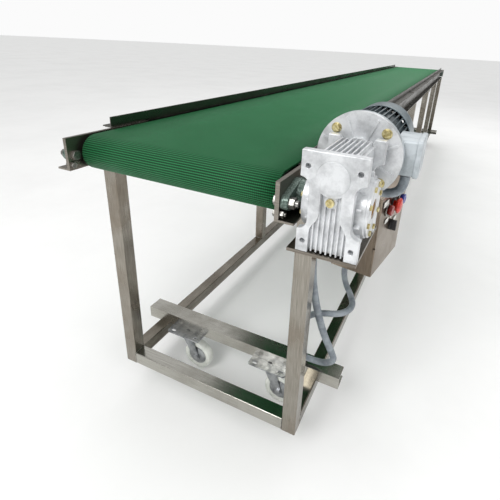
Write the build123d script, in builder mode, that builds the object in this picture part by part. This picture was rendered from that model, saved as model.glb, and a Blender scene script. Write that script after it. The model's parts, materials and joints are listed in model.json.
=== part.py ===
"""Mobile belt conveyor section: stainless stand on castors, flat belt, worm gearmotor at one end.

X runs across the belt, Y along it from the drive end to the tail, Z up from the floor.
The origin lies on the floor, on the centre line, level with the front face of the first legs.
"""
import os
from math import cos, pi, radians, sin, tan

from build123d import *

os.makedirs("parts", exist_ok=True)

# ---- stand ----------------------------------------------------------------
BAY_COUNT = 5  # bays between leg pairs
LEG_PITCH = 846.0  # leg pair to leg pair
STAND_WIDTH = 560.0  # over the outer faces of the legs
BELT_TOP = 820.0  # carrying surface above the floor
STAND_UNDERSIDE = 100.0  # clearance under the bottom rails
TUBE = 38.0  # square tube of legs and rails
TUBE_WALL = 2.0
TUBE_CORNER = 3.0

# ---- side members ---------------------------------------------------------
CHANNEL_HEIGHT = 72.0
CHANNEL_SHEET = 3.0
CHANNEL_DEPTH = 28.0  # web to the outer leg face
CHANNEL_START = 22.0  # first millimetre of the side channels
PLATE_THICKNESS = 8.0  # drive and tail plates
PLATE_REACH = 67.0  # plate end beyond the drum axis
PLATE_LENGTH = 247.0
PLATE_FLANGE = 4.0  # thickness of the plates' outward foot
GUARD_HEIGHT = 25.0  # above the belt
GUARD_SHEET = 3.0
GUARD_START = 15.0
BED_SHEET = 3.0
BED_GAP = 8.0  # bed end to drum surface

# ---- belt and drums -------------------------------------------------------
BELT_THICKNESS = 4.0
BELT_GAP = 10.0  # belt edge to the plates
DRUM_RADIUS = 35.0
DRUM_WALL = 4.0
DRUM_END = 6.0  # thickness of the drum's end discs
DRUM_OVERHANG = 50.0  # drum axis beyond the outer leg face
BELT_CLEARANCE = 0.3  # running gap between drum or roller and belt
SHAFT_RADIUS = 12.5
SHAFT_SLACK = 0.05  # radial running clearance
TAIL_SHAFT_RADIUS = 10.0
RETURN_ROLLER_RADIUS = 21.0
RETURN_SHAFT_RADIUS = 6.0
RETURN_ROLLER_BAYS = (1, 3)  # bays that carry a return roller, counted from 0
TAKE_UP_TRAVEL = 30.0
TAKE_UP_BLOCK = 52.0
TAKE_UP_SCREW_RADIUS = 5.0

# ---- castors --------------------------------------------------------------
WHEEL_RADIUS = 50.0
WHEEL_WIDTH = 28.0
CASTOR_TRAIL = 35.0
CASTOR_INSET = 165.0  # swivel axis behind the outer leg face
CASTOR_FROM_END = (155.0, 210.0)  # swivel axes, inwards from the bar ends
CASTOR_PLATE = (120.0, 86.0)
CASTOR_PLATE_THICKNESS = 4.0
CASTOR_BOLTS = (84.0, 60.0)
BAR_HEIGHT = 38.0
BAR_DEPTH = 50.0
BAR_SHEET = 3.0
BAR_REACH = (40.0, 65.0)  # bar ends beyond the outer leg faces
BAR_INSET = 155.0  # bar face behind the outer leg face

# ---- gearmotor ------------------------------------------------------------
GEARBOX_OFFSET = 60.0  # gearbox centre beyond the outer leg face
GEARBOX_WIDTH = 105.0
GEARBOX_DEPTH = 144.0
GEARBOX_HEIGHT = 174.0
GEARBOX_BODY_WIDTH = 76.0
AXIS_HEIGHT = 72.0  # output axis above the base and behind the front face
CENTRE_DISTANCE = 63.0  # worm axis above the output axis
HOLLOW_SHAFT_RADIUS = 17.5
MOUNT_HOLES = (82.0, 129.0)  # hole spacing on the front face, across and up
MOUNT_HOLE_RADIUS = 4.25
MOUNT_HOLE_DEPTH = 16.0
INPUT_REACH = 23.0  # gearbox rear face to flange joint
FLANGE_RADIUS = 80.0
FLANGE_THICKNESS = 10.0
FLANGE_BOLT_CIRCLE = 130.0
MOTOR_CORE_RADIUS = 60.0
MOTOR_FIN_RADIUS = 68.0
MOTOR_CORE_LENGTH = 165.0
MOTOR_SHAFT_RADIUS = 7.0
FAN_COVER_RADIUS = 70.5
FAN_COVER_LENGTH = 76.0
WHEEL_TEETH = 30
BRACKET_SHEET = 6.0

# ---- controls -------------------------------------------------------------
BOX_WIDTH = 200.0
BOX_HEIGHT = 210.0
BOX_DEPTH = 104.0
BOX_SHEET = 1.5
DOOR_SHEET = 3.0
BOX_BOTTOM = 500.0
BOX_OFFSET = (98.0, 188.0)  # outer near corner of the door, beyond the leg face and the first legs
BOX_TURN = 8.6  # degrees that the door faces towards the drive end
TOP_ROW = 168.0  # height of the upper row of buttons on the door
LOW_ROW = 110.0
STOP_AT = 50.0
EMERGENCY_AT = 95.0
START_AT = 149.0
SELECTOR_AT = 99.0
HOSE_RADIUS = 9.0
LOOP_RADIUS = 8.0
CONDUIT_RADIUS = 10.0

# ---- places worked out from the sizes above ---------------------------------
STAND_LENGTH = BAY_COUNT * LEG_PITCH + TUBE
BELT_WIDTH = STAND_WIDTH - 2 * (CHANNEL_DEPTH + PLATE_THICKNESS + BELT_GAP)
BAR_X = (-STAND_WIDTH / 2 - BAR_REACH[0], STAND_WIDTH / 2 + BAR_REACH[1])
CASTOR_X = (BAR_X[0] + CASTOR_FROM_END[0], BAR_X[1] - CASTOR_FROM_END[1])
GEARBOX_X = STAND_WIDTH / 2 + GEARBOX_OFFSET
BOX_CORNER = (STAND_WIDTH / 2 + BOX_OFFSET[0], BOX_OFFSET[1])
LEG_X = STAND_WIDTH / 2 - TUBE / 2
RAIL_TOP = STAND_UNDERSIDE + TUBE
CHANNEL_BOTTOM = BELT_TOP - CHANNEL_HEIGHT
PLATE_INNER = BELT_WIDTH / 2 + BELT_GAP
PLATE_OUTER = PLATE_INNER + PLATE_THICKNESS
CHANNEL_OUTER = STAND_WIDTH / 2
BELT_RADIUS = DRUM_RADIUS + BELT_CLEARANCE + BELT_THICKNESS
AXIS_Z = BELT_TOP - BELT_RADIUS
DRIVE_Y = -DRUM_OVERHANG
TAIL_Y = STAND_LENGTH + DRUM_OVERHANG
PLATE_END = DRUM_OVERHANG + PLATE_REACH
BED_TOP = BELT_TOP - BELT_THICKNESS
CENTRE_Y = STAND_LENGTH / 2
GEARBOX_FRONT = DRIVE_Y - AXIS_HEIGHT
GEARBOX_REAR = GEARBOX_FRONT + GEARBOX_DEPTH
GEARBOX_BASE = AXIS_Z - AXIS_HEIGHT
WORM_Z = AXIS_Z + CENTRE_DISTANCE
FLANGE_Y = GEARBOX_REAR + INPUT_REACH
MOTOR_REAR = FLANGE_Y + FLANGE_THICKNESS + MOTOR_CORE_LENGTH
BAR_TOP = RAIL_TOP + BAR_HEIGHT
SIDES = (("left", -1), ("right", 1))


def leg_y(index):
    """Middle of leg pair `index`, counted from the drive end."""
    return index * LEG_PITCH + TUBE / 2


# ---- stand ----------------------------------------------------------------
for side, sign in SIDES:
    with BuildPart() as legs:
        for index in range(BAY_COUNT + 1):
            is_end = index in (0, BAY_COUNT)
            foot = STAND_UNDERSIDE if is_end else RAIL_TOP
            with BuildSketch(Plane.XY.offset(foot)):
                with Locations((sign * LEG_X, leg_y(index))):
                    RectangleRounded(TUBE, TUBE, TUBE_CORNER)
                    Rectangle(TUBE - 2 * TUBE_WALL, TUBE - 2 * TUBE_WALL, mode=Mode.SUBTRACT)
            extrude(amount=CHANNEL_BOTTOM - foot)
    legs.part.label = f"legs_{side}"
    export_step(legs.part, f"parts/legs_{side}.step")

    with BuildPart() as bottom_rail:
        with BuildSketch(Plane.XZ.offset(-TUBE)):
            with Locations((sign * LEG_X, STAND_UNDERSIDE + TUBE / 2)):
                RectangleRounded(TUBE, TUBE, TUBE_CORNER)
                Rectangle(TUBE - 2 * TUBE_WALL, TUBE - 2 * TUBE_WALL, mode=Mode.SUBTRACT)
        extrude(amount=-(STAND_LENGTH - 2 * TUBE))
    bottom_rail.part.label = f"bottom_rail_{side}"
    export_step(bottom_rail.part, f"parts/bottom_rail_{side}.step")

BED_MEMBER_Z = BED_TOP - BED_SHEET - TUBE / 2
BED_MEMBER_INSET = 35.0  # end bed members, inwards from their legs
CHANNEL_WEB_INNER = PLATE_OUTER
with BuildPart() as cross_members:
    for y in (TUBE / 2, STAND_LENGTH - TUBE / 2):
        with BuildSketch(Plane.YZ.offset(TUBE - CHANNEL_OUTER)):
            with Locations((y, STAND_UNDERSIDE + TUBE / 2)):
                RectangleRounded(TUBE, TUBE, TUBE_CORNER)
                Rectangle(TUBE - 2 * TUBE_WALL, TUBE - 2 * TUBE_WALL, mode=Mode.SUBTRACT)
        extrude(amount=STAND_WIDTH - 2 * TUBE)
    for index in range(BAY_COUNT + 1):
        half = PLATE_INNER if index in (0, BAY_COUNT) else CHANNEL_WEB_INNER
        inset = {0: BED_MEMBER_INSET, BAY_COUNT: -BED_MEMBER_INSET}.get(index, 0)
        with BuildSketch(Plane.YZ.offset(-half)):
            with Locations((leg_y(index) + inset, BED_MEMBER_Z)):
                RectangleRounded(TUBE, TUBE, TUBE_CORNER)
                Rectangle(TUBE - 2 * TUBE_WALL, TUBE - 2 * TUBE_WALL, mode=Mode.SUBTRACT)
        extrude(amount=2 * half)
cross_members.part.label = "cross_members"
export_step(cross_members.part, "parts/cross_members.step")

# ---- side channels, plates and guards ---------------------------------------
CHANNEL_LENGTH = STAND_LENGTH - 2 * CHANNEL_START
CHANNEL_MID_Z = BELT_TOP - CHANNEL_HEIGHT / 2
SLOT_HEIGHT = TAKE_UP_BLOCK / 2
SLOT_END = TAIL_Y + TAKE_UP_BLOCK / 2
TAB_X = (PLATE_OUTER + CHANNEL_OUTER) / 2
UNIT_BOLT_SPACING = 99.0
UNIT_BOLT_RADIUS = 6.0
HOLE_SLACK = 0.5
PLATE_BOLT_RADIUS = 4.0
JOIN_BOLT_RADIUS = 5.5
JOIN_SPACING = 44.0
JOIN_Y = STAND_LENGTH + PLATE_END - 22.0
PLATE_BOLTS_Y = (92.0, 120.0)  # fixing bolts, from the outer leg face inwards
MOTOR_NOTCH_X = GEARBOX_X - FLANGE_RADIUS - 3.0  # upper flanges are cut back to here beside the motor
MOTOR_NOTCH_END = MOTOR_REAR + FAN_COVER_LENGTH
FOOT_BOLT_Y = -107.0
FOOT_BOLT_Z = CHANNEL_BOTTOM + 12.0

for side, sign in SIDES:
    with BuildPart() as side_channel:
        with BuildSketch(Plane.XZ.offset(-CHANNEL_START)):
            with Locations((sign * (CHANNEL_WEB_INNER + CHANNEL_DEPTH / 2), CHANNEL_MID_Z)):
                Rectangle(CHANNEL_DEPTH, CHANNEL_HEIGHT)
            with Locations((sign * (CHANNEL_WEB_INNER + CHANNEL_SHEET + CHANNEL_DEPTH / 2), CHANNEL_MID_Z)):
                Rectangle(CHANNEL_DEPTH, CHANNEL_HEIGHT - 2 * CHANNEL_SHEET, mode=Mode.SUBTRACT)
        extrude(amount=-CHANNEL_LENGTH)
        with BuildSketch(Plane.YZ):
            for y in PLATE_BOLTS_Y:
                with Locations((y, CHANNEL_MID_Z), (STAND_LENGTH - y, CHANNEL_MID_Z)):
                    Circle(PLATE_BOLT_RADIUS + HOLE_SLACK)
        extrude(amount=sign * STAND_WIDTH, mode=Mode.SUBTRACT)
        if sign > 0:
            with BuildSketch(Plane.XY.offset(BELT_TOP)):
                with Locations(((MOTOR_NOTCH_X + STAND_WIDTH) / 2, MOTOR_NOTCH_END / 2)):
                    Rectangle(STAND_WIDTH - MOTOR_NOTCH_X, MOTOR_NOTCH_END)
            extrude(amount=-2 * CHANNEL_SHEET, mode=Mode.SUBTRACT)
    side_channel.part.label = f"side_channel_{side}"
    export_step(side_channel.part, f"parts/side_channel_{side}.step")

    with BuildPart() as side_guard:
        with BuildSketch(Plane.XZ.offset(-GUARD_START)):
            with BuildLine():
                Polyline(
                    (sign * CHANNEL_WEB_INNER, BELT_TOP),
                    (sign * CHANNEL_OUTER, BELT_TOP),
                    (sign * CHANNEL_OUTER, BELT_TOP + GUARD_SHEET),
                    (sign * (CHANNEL_WEB_INNER + GUARD_SHEET), BELT_TOP + GUARD_SHEET),
                    (sign * (CHANNEL_WEB_INNER + GUARD_SHEET), BELT_TOP + GUARD_HEIGHT),
                    (sign * CHANNEL_WEB_INNER, BELT_TOP + GUARD_HEIGHT),
                    close=True,
                )
            make_face()
        extrude(amount=-(STAND_LENGTH - 2 * GUARD_START))
        if sign > 0:
            with BuildSketch(Plane.XY.offset(BELT_TOP)):
                with Locations(((MOTOR_NOTCH_X + STAND_WIDTH) / 2, MOTOR_NOTCH_END / 2)):
                    Rectangle(STAND_WIDTH - MOTOR_NOTCH_X, MOTOR_NOTCH_END)
            extrude(amount=GUARD_HEIGHT, mode=Mode.SUBTRACT)
    side_guard.part.label = f"side_guard_{side}"
    export_step(side_guard.part, f"parts/side_guard_{side}.step")

    with BuildPart() as drive_plate:
        with BuildSketch(Plane.YZ.offset(sign * PLATE_INNER)):
            with Locations((PLATE_LENGTH / 2 - PLATE_END, CHANNEL_MID_Z)):
                Rectangle(PLATE_LENGTH, CHANNEL_HEIGHT)
            with Locations((DRIVE_Y, AXIS_Z)):
                Circle(SHAFT_RADIUS + 2.0, mode=Mode.SUBTRACT)
                with GridLocations(UNIT_BOLT_SPACING, 0, 2, 1):
                    Circle(UNIT_BOLT_RADIUS + HOLE_SLACK, mode=Mode.SUBTRACT)
            with Locations((FOOT_BOLT_Y, FOOT_BOLT_Z), *((y, CHANNEL_MID_Z) for y in PLATE_BOLTS_Y)):
                Circle(PLATE_BOLT_RADIUS + HOLE_SLACK, mode=Mode.SUBTRACT)
        extrude(amount=sign * PLATE_THICKNESS)
        with BuildSketch(Plane.XY.offset(CHANNEL_BOTTOM)):
            with Locations((sign * (PLATE_OUTER + CHANNEL_DEPTH / 2), (CHANNEL_START - PLATE_END) / 2)):
                Rectangle(CHANNEL_DEPTH, CHANNEL_START + PLATE_END)
        extrude(amount=PLATE_FLANGE)
    drive_plate.part.label = f"drive_plate_{side}"
    export_step(drive_plate.part, f"parts/drive_plate_{side}.step")

with BuildPart() as tail_plates:
    for side, sign in SIDES:
        with BuildSketch(Plane.YZ.offset(sign * PLATE_INNER)):
            with Locations((STAND_LENGTH + PLATE_END - PLATE_LENGTH / 2, CHANNEL_MID_Z)):
                Rectangle(PLATE_LENGTH, CHANNEL_HEIGHT)
            with Locations((SLOT_END - (TAKE_UP_BLOCK + TAKE_UP_TRAVEL) / 2, AXIS_Z)):
                Rectangle(TAKE_UP_BLOCK + TAKE_UP_TRAVEL, SLOT_HEIGHT, mode=Mode.SUBTRACT)
            with Locations((JOIN_Y, CHANNEL_MID_Z)):
                with GridLocations(0, JOIN_SPACING, 1, 2):
                    Circle(JOIN_BOLT_RADIUS, mode=Mode.SUBTRACT)
            with Locations(*((STAND_LENGTH - y, CHANNEL_MID_Z) for y in PLATE_BOLTS_Y)):
                Circle(PLATE_BOLT_RADIUS + HOLE_SLACK, mode=Mode.SUBTRACT)
        extrude(amount=sign * PLATE_THICKNESS)
        with BuildSketch(Plane.XZ.offset(-(STAND_LENGTH + PLATE_END - PLATE_FLANGE))):
            with Locations((sign * TAB_X, CHANNEL_MID_Z)):
                Rectangle(CHANNEL_DEPTH, CHANNEL_HEIGHT)
            with Locations((sign * TAB_X, AXIS_Z)):
                Circle(TAKE_UP_SCREW_RADIUS + HOLE_SLACK, mode=Mode.SUBTRACT)
        extrude(amount=-PLATE_FLANGE)
tail_plates.part.label = "tail_plates"
export_step(tail_plates.part, "parts/tail_plates.step")

with BuildPart() as slider_bed:
    with BuildSketch(Plane.XY.offset(BED_TOP - BED_SHEET)):
        with Locations((0, CENTRE_Y)):
            Rectangle(2 * PLATE_INNER - 1, TAIL_Y - DRIVE_Y - 2 * (DRUM_RADIUS + BED_GAP) - TAKE_UP_TRAVEL)
    extrude(amount=BED_SHEET)
slider_bed.part.label = "slider_bed"
export_step(slider_bed.part, "parts/slider_bed.step")

# ---- belt, drums and rollers --------------------------------------------------
with BuildPart() as conveyor_belt:
    with BuildSketch(Plane.YZ.offset(-BELT_WIDTH / 2)):
        with Locations((CENTRE_Y, AXIS_Z)):
            SlotCenterToCenter(TAIL_Y - DRIVE_Y, 2 * BELT_RADIUS)
            SlotCenterToCenter(TAIL_Y - DRIVE_Y, 2 * (BELT_RADIUS - BELT_THICKNESS), mode=Mode.SUBTRACT)
    extrude(amount=BELT_WIDTH)
conveyor_belt.part.label = "conveyor_belt"
export_step(conveyor_belt.part, "parts/conveyor_belt.step")

for name, centre_y, shaft_radius in (("drive", DRIVE_Y, SHAFT_RADIUS), ("tail", TAIL_Y, TAIL_SHAFT_RADIUS)):
    with BuildPart() as drum:
        with BuildSketch(Plane.YZ.offset(-BELT_WIDTH / 2)):
            with Locations((centre_y, AXIS_Z)):
                Circle(DRUM_RADIUS)
                Circle(DRUM_RADIUS - DRUM_WALL, mode=Mode.SUBTRACT)
        extrude(amount=BELT_WIDTH)
        for start in (-BELT_WIDTH / 2, BELT_WIDTH / 2 - DRUM_END):
            with BuildSketch(Plane.YZ.offset(start)):
                with Locations((centre_y, AXIS_Z)):
                    Circle(DRUM_RADIUS - DRUM_WALL)
                    Circle(shaft_radius, mode=Mode.SUBTRACT)
            extrude(amount=DRUM_END)
    drum.part.label = f"{name}_drum"
    export_step(drum.part, f"parts/{name}_drum.step")

UNIT_THICKNESS = 13.0
UNIT_HUB_REACH = 27.0
SHAFT_END = PLATE_OUTER + UNIT_HUB_REACH + 4.0
DRIVE_SHAFT_END = GEARBOX_X + GEARBOX_WIDTH / 2 - 2.0
with BuildPart() as drive_shaft:
    with BuildSketch(Plane.YZ.offset(-SHAFT_END)):
        with Locations((DRIVE_Y, AXIS_Z)):
            Circle(SHAFT_RADIUS)
    extrude(amount=SHAFT_END + DRIVE_SHAFT_END)
    chamfer(drive_shaft.faces().filter_by(Axis.X).edges(), 1.0)
drive_shaft.part.label = "drive_shaft"
export_step(drive_shaft.part, "parts/drive_shaft.step")

TAIL_SHAFT_END = PLATE_OUTER + 20.0
with BuildPart() as tail_shaft:
    with BuildSketch(Plane.YZ.offset(-TAIL_SHAFT_END)):
        with Locations((TAIL_Y, AXIS_Z)):
            Circle(TAIL_SHAFT_RADIUS)
    extrude(amount=2 * TAIL_SHAFT_END)
    chamfer(tail_shaft.faces().filter_by(Axis.X).edges(), 1.0)
tail_shaft.part.label = "tail_shaft"
export_step(tail_shaft.part, "parts/tail_shaft.step")

RETURN_Z = AXIS_Z - BELT_RADIUS - BELT_CLEARANCE - RETURN_ROLLER_RADIUS
for number, bay in enumerate(RETURN_ROLLER_BAYS, start=1):
    with BuildPart() as return_roller:
        with BuildSketch(Plane.YZ.offset(-BELT_WIDTH / 2)):
            with Locations((leg_y(bay) + LEG_PITCH / 2, RETURN_Z)):
                Circle(RETURN_ROLLER_RADIUS)
                Circle(RETURN_ROLLER_RADIUS - 2.0, mode=Mode.SUBTRACT)
        extrude(amount=BELT_WIDTH)
        for start in (-BELT_WIDTH / 2, BELT_WIDTH / 2 - DRUM_END):
            with BuildSketch(Plane.YZ.offset(start)):
                with Locations((leg_y(bay) + LEG_PITCH / 2, RETURN_Z)):
                    Circle(RETURN_ROLLER_RADIUS - 2.0)
                    Circle(RETURN_SHAFT_RADIUS + SHAFT_SLACK, mode=Mode.SUBTRACT)
            extrude(amount=DRUM_END)
    return_roller.part.label = f"return_roller_{number}"
    export_step(return_roller.part, f"parts/return_roller_{number}.step")

HANGER_X = PLATE_OUTER + 4.0
HANGER_SHEET = 4.0
HANGER_WIDTH = 40.0
HANGER_DROP = 22.0  # hanger plate below the shaft
with BuildPart() as return_roller_hangers:
    for bay in RETURN_ROLLER_BAYS:
        y = leg_y(bay) + LEG_PITCH / 2
        for side, sign in SIDES:
            with BuildSketch(Plane.YZ.offset(sign * HANGER_X)):
                with Locations((y, (CHANNEL_BOTTOM + RETURN_Z - HANGER_DROP) / 2)):
                    Rectangle(HANGER_WIDTH, CHANNEL_BOTTOM - RETURN_Z + HANGER_DROP)
                with Locations((y, RETURN_Z)):
                    Circle(RETURN_SHAFT_RADIUS, mode=Mode.SUBTRACT)
            extrude(amount=sign * HANGER_SHEET)
        with BuildSketch(Plane.YZ.offset(-HANGER_X - HANGER_SHEET)):
            with Locations((y, RETURN_Z)):
                Circle(RETURN_SHAFT_RADIUS)
        extrude(amount=2 * (HANGER_X + HANGER_SHEET))
return_roller_hangers.part.label = "return_roller_hangers"
export_step(return_roller_hangers.part, "parts/return_roller_hangers.step")

# ---- bearing units and take-up ------------------------------------------------
with BuildPart() as drive_bearing_units:
    for side, sign in SIDES:
        with BuildSketch(Plane.YZ.offset(sign * PLATE_OUTER)):
            with Locations((DRIVE_Y, AXIS_Z)):
                Circle(28.0)
                with GridLocations(UNIT_BOLT_SPACING, 0, 2, 1):
                    Circle(14.0)
            make_hull()
            with Locations((DRIVE_Y, AXIS_Z)):
                Circle(SHAFT_RADIUS + SHAFT_SLACK, mode=Mode.SUBTRACT)
                with GridLocations(UNIT_BOLT_SPACING, 0, 2, 1):
                    Circle(UNIT_BOLT_RADIUS + HOLE_SLACK, mode=Mode.SUBTRACT)
        extrude(amount=sign * UNIT_THICKNESS)
        with BuildSketch(Plane.YZ.offset(sign * (PLATE_OUTER + UNIT_THICKNESS))):
            with Locations((DRIVE_Y, AXIS_Z)):
                Circle(27.0)
                Circle(SHAFT_RADIUS + SHAFT_SLACK, mode=Mode.SUBTRACT)
        extrude(amount=sign * (UNIT_HUB_REACH - UNIT_THICKNESS), taper=14)
drive_bearing_units.part.label = "drive_bearing_units"
export_step(drive_bearing_units.part, "parts/drive_bearing_units.step")

BLOCK_THICKNESS = 24.0
SLIDE_GAP = 0.3
TONGUE = SLOT_HEIGHT - 2 * SLIDE_GAP
with BuildPart() as tail_bearing_units:
    for side, sign in SIDES:
        with BuildSketch(Plane.YZ.offset(sign * (PLATE_OUTER + SLIDE_GAP))):
            with Locations((TAIL_Y, AXIS_Z)):
                RectangleRounded(TAKE_UP_BLOCK, TAKE_UP_BLOCK, 6.0)
                Circle(TAIL_SHAFT_RADIUS + SHAFT_SLACK, mode=Mode.SUBTRACT)
        extrude(amount=sign * BLOCK_THICKNESS)
        with BuildSketch(Plane.YZ.offset(sign * (PLATE_INNER + 1))):
            with Locations((TAIL_Y, AXIS_Z)):
                Rectangle(TAKE_UP_BLOCK - 6, TONGUE)
                Circle(TAIL_SHAFT_RADIUS + SHAFT_SLACK, mode=Mode.SUBTRACT)
        extrude(amount=sign * (PLATE_THICKNESS - 1 + SLIDE_GAP))
tail_bearing_units.part.label = "tail_bearing_units"
export_step(tail_bearing_units.part, "parts/tail_bearing_units.step")

SCREW_LENGTH = 76.0
with BuildPart() as take_up_screws:
    with BuildSketch(Plane.XZ.offset(-(TAIL_Y + TAKE_UP_BLOCK / 2))):
        with Locations((-TAB_X, AXIS_Z), (TAB_X, AXIS_Z)):
            Circle(TAKE_UP_SCREW_RADIUS)
    extrude(amount=-SCREW_LENGTH)
    chamfer(take_up_screws.faces().sort_by(Axis.Y)[-2:].edges(), 1.0)
take_up_screws.part.label = "take_up_screws"
export_step(take_up_screws.part, "parts/take_up_screws.step")

# ---- castors ------------------------------------------------------------------
AXLE_RADIUS = 5.0
PIN_RADIUS = 6.0
RACE_RADIUS = 28.0
RACE_THICKNESS = 7.0
FORK_SHEET = 3.0
FORK_GAP = 2.5  # wheel side to fork leg
SWIVEL_GAP = 0.3
CROWN_TOP = RAIL_TOP - CASTOR_PLATE_THICKNESS - RACE_THICKNESS - SWIVEL_GAP
CROWN_BOTTOM = CROWN_TOP - 6.0
FORK_INNER = WHEEL_WIDTH / 2 + FORK_GAP


def castor_places():
    """Swivel axis, trail direction and bar direction of each castor."""
    places = []
    for x in CASTOR_X:
        places.append((x, CASTOR_INSET, Vector(1, 0, 0)))
    for x in CASTOR_X:
        places.append((x, STAND_LENGTH - CASTOR_INSET, Vector(0, 1, 0)))
    return places


with BuildPart() as castor_plates:
    for x, y, trail in castor_places():
        with BuildSketch(Plane.XY.offset(RAIL_TOP)):
            with Locations((x, y)):
                RectangleRounded(*CASTOR_PLATE, 8.0)
                with GridLocations(*CASTOR_BOLTS, 2, 2):
                    SlotOverall(16.0, 9.0, mode=Mode.SUBTRACT)
                Circle(PIN_RADIUS + SHAFT_SLACK, mode=Mode.SUBTRACT)
        extrude(amount=-CASTOR_PLATE_THICKNESS)
        with BuildSketch(Plane.XY.offset(RAIL_TOP - CASTOR_PLATE_THICKNESS)):
            with Locations((x, y)):
                Circle(RACE_RADIUS)
                Circle(PIN_RADIUS + SHAFT_SLACK, mode=Mode.SUBTRACT)
        extrude(amount=-RACE_THICKNESS)
castor_plates.part.label = "castor_plates"
export_step(castor_plates.part, "parts/castor_plates.step")

with BuildPart() as castor_bars:
    for face_y, sign in ((BAR_INSET, 1), (STAND_LENGTH - BAR_INSET, -1)):
        with BuildSketch(Plane.YZ.offset(BAR_X[0])):
            with Locations((face_y + sign * BAR_DEPTH / 2, RAIL_TOP + BAR_HEIGHT / 2)):
                Rectangle(BAR_DEPTH, BAR_HEIGHT)
            with Locations((face_y + sign * (BAR_SHEET + BAR_DEPTH / 2), RAIL_TOP + BAR_HEIGHT / 2)):
                Rectangle(BAR_DEPTH, BAR_HEIGHT - 2 * BAR_SHEET, mode=Mode.SUBTRACT)
        extrude(amount=BAR_X[1] - BAR_X[0])
        with BuildSketch(Plane.XY.offset(RAIL_TOP)):
            for x in CASTOR_X:
                with Locations((x, face_y + sign * (CASTOR_INSET - BAR_INSET + CASTOR_BOLTS[1] / 2))):
                    with GridLocations(CASTOR_BOLTS[0], 0, 2, 1):
                        Circle(PLATE_BOLT_RADIUS + HOLE_SLACK)
                with Locations((x, face_y + sign * (CASTOR_INSET - BAR_INSET))):
                    Circle(PIN_RADIUS + 6.0)
        extrude(amount=BAR_SHEET, mode=Mode.SUBTRACT)
castor_bars.part.label = "castor_bars"
export_step(castor_bars.part, "parts/castor_bars.step")

for number, (x, y, trail) in enumerate(castor_places(), start=1):
    swivel = Plane(origin=(x, y, 0), x_dir=trail, z_dir=(0, 0, 1))
    across = Plane(origin=(x, y, 0), x_dir=trail, z_dir=trail.rotate(Axis.Z, -90))
    with BuildPart() as castor_fork:
        with BuildSketch(swivel.offset(CROWN_BOTTOM)):
            Circle(RACE_RADIUS)
        extrude(amount=CROWN_TOP - CROWN_BOTTOM)
        with BuildSketch(swivel.offset(CROWN_TOP)):
            Circle(PIN_RADIUS)
        extrude(amount=RAIL_TOP + BAR_SHEET + 5 - CROWN_TOP)
        for start in (FORK_INNER, -FORK_INNER - FORK_SHEET):
            with BuildSketch(across.offset(start)):
                with BuildLine():
                    Polyline(
                        (-18, CROWN_BOTTOM),
                        (CASTOR_TRAIL - 12, WHEEL_RADIUS - 8),
                        (CASTOR_TRAIL + 12, WHEEL_RADIUS - 8),
                        (22, CROWN_BOTTOM),
                        (22, CROWN_TOP),
                        (-18, CROWN_TOP),
                        close=True,
                    )
                make_face()
                with Locations((CASTOR_TRAIL, WHEEL_RADIUS)):
                    Circle(AXLE_RADIUS, mode=Mode.SUBTRACT)
            extrude(amount=FORK_SHEET)
        with BuildSketch(across.offset(-FORK_INNER - FORK_SHEET)):
            with Locations((CASTOR_TRAIL, WHEEL_RADIUS)):
                Circle(AXLE_RADIUS)
        extrude(amount=2 * (FORK_INNER + FORK_SHEET))
        for start in (FORK_INNER + FORK_SHEET, -FORK_INNER - FORK_SHEET - 5):
            with BuildSketch(across.offset(start)):
                with Locations((CASTOR_TRAIL, WHEEL_RADIUS)):
                    RegularPolygon(9.0, 6)
            extrude(amount=5.0)
    castor_fork.part.label = f"castor_fork_{number}"
    export_step(castor_fork.part, f"parts/castor_fork_{number}.step")

    with BuildPart() as castor_wheel:
        with BuildSketch(across.offset(-WHEEL_WIDTH / 2)):
            with Locations((CASTOR_TRAIL, WHEEL_RADIUS)):
                Circle(WHEEL_RADIUS)
                Circle(AXLE_RADIUS + SHAFT_SLACK, mode=Mode.SUBTRACT)
        extrude(amount=WHEEL_WIDTH)
        fillet(castor_wheel.edges().filter_by(GeomType.CIRCLE).group_by(SortBy.RADIUS)[-1], 6.0)
        for start, depth in ((WHEEL_WIDTH / 2, -6.0), (-WHEEL_WIDTH / 2, 6.0)):
            with BuildSketch(across.offset(start)):
                with Locations((CASTOR_TRAIL, WHEEL_RADIUS)):
                    Circle(WHEEL_RADIUS * 0.7)
                    Circle(14.0, mode=Mode.SUBTRACT)
            extrude(amount=depth, mode=Mode.SUBTRACT)
    castor_wheel.part.label = f"castor_wheel_{number}"
    export_step(castor_wheel.part, f"parts/castor_wheel_{number}.step")

# ---- gearbox --------------------------------------------------------------------
GEARBOX_TOP = GEARBOX_BASE + GEARBOX_HEIGHT
GEARBOX_MID_Y = GEARBOX_FRONT + GEARBOX_DEPTH / 2
BOSS_RADIUS = 52.0
COVER_THICKNESS = 5.5
BODY_WALL = 8.0
WORM_TIP = 16.5
GEAR_GAP = 0.5
WHEEL_TIP = CENTRE_DISTANCE - WORM_TIP - GEAR_GAP
FOOT_PAD = (21.0, 41.0)
HEAD_PAD_HEIGHT = 43.0
PAD_DEPTH = 22.0
FIN_PITCH = 9.0
FIN_GAP = 5.0
CAP_RADIUS = 27.0
PLUG_HEIGHT = 96.0
MOUNT_MID_Z = GEARBOX_BASE + 20.0 + MOUNT_HOLES[1] / 2

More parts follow.
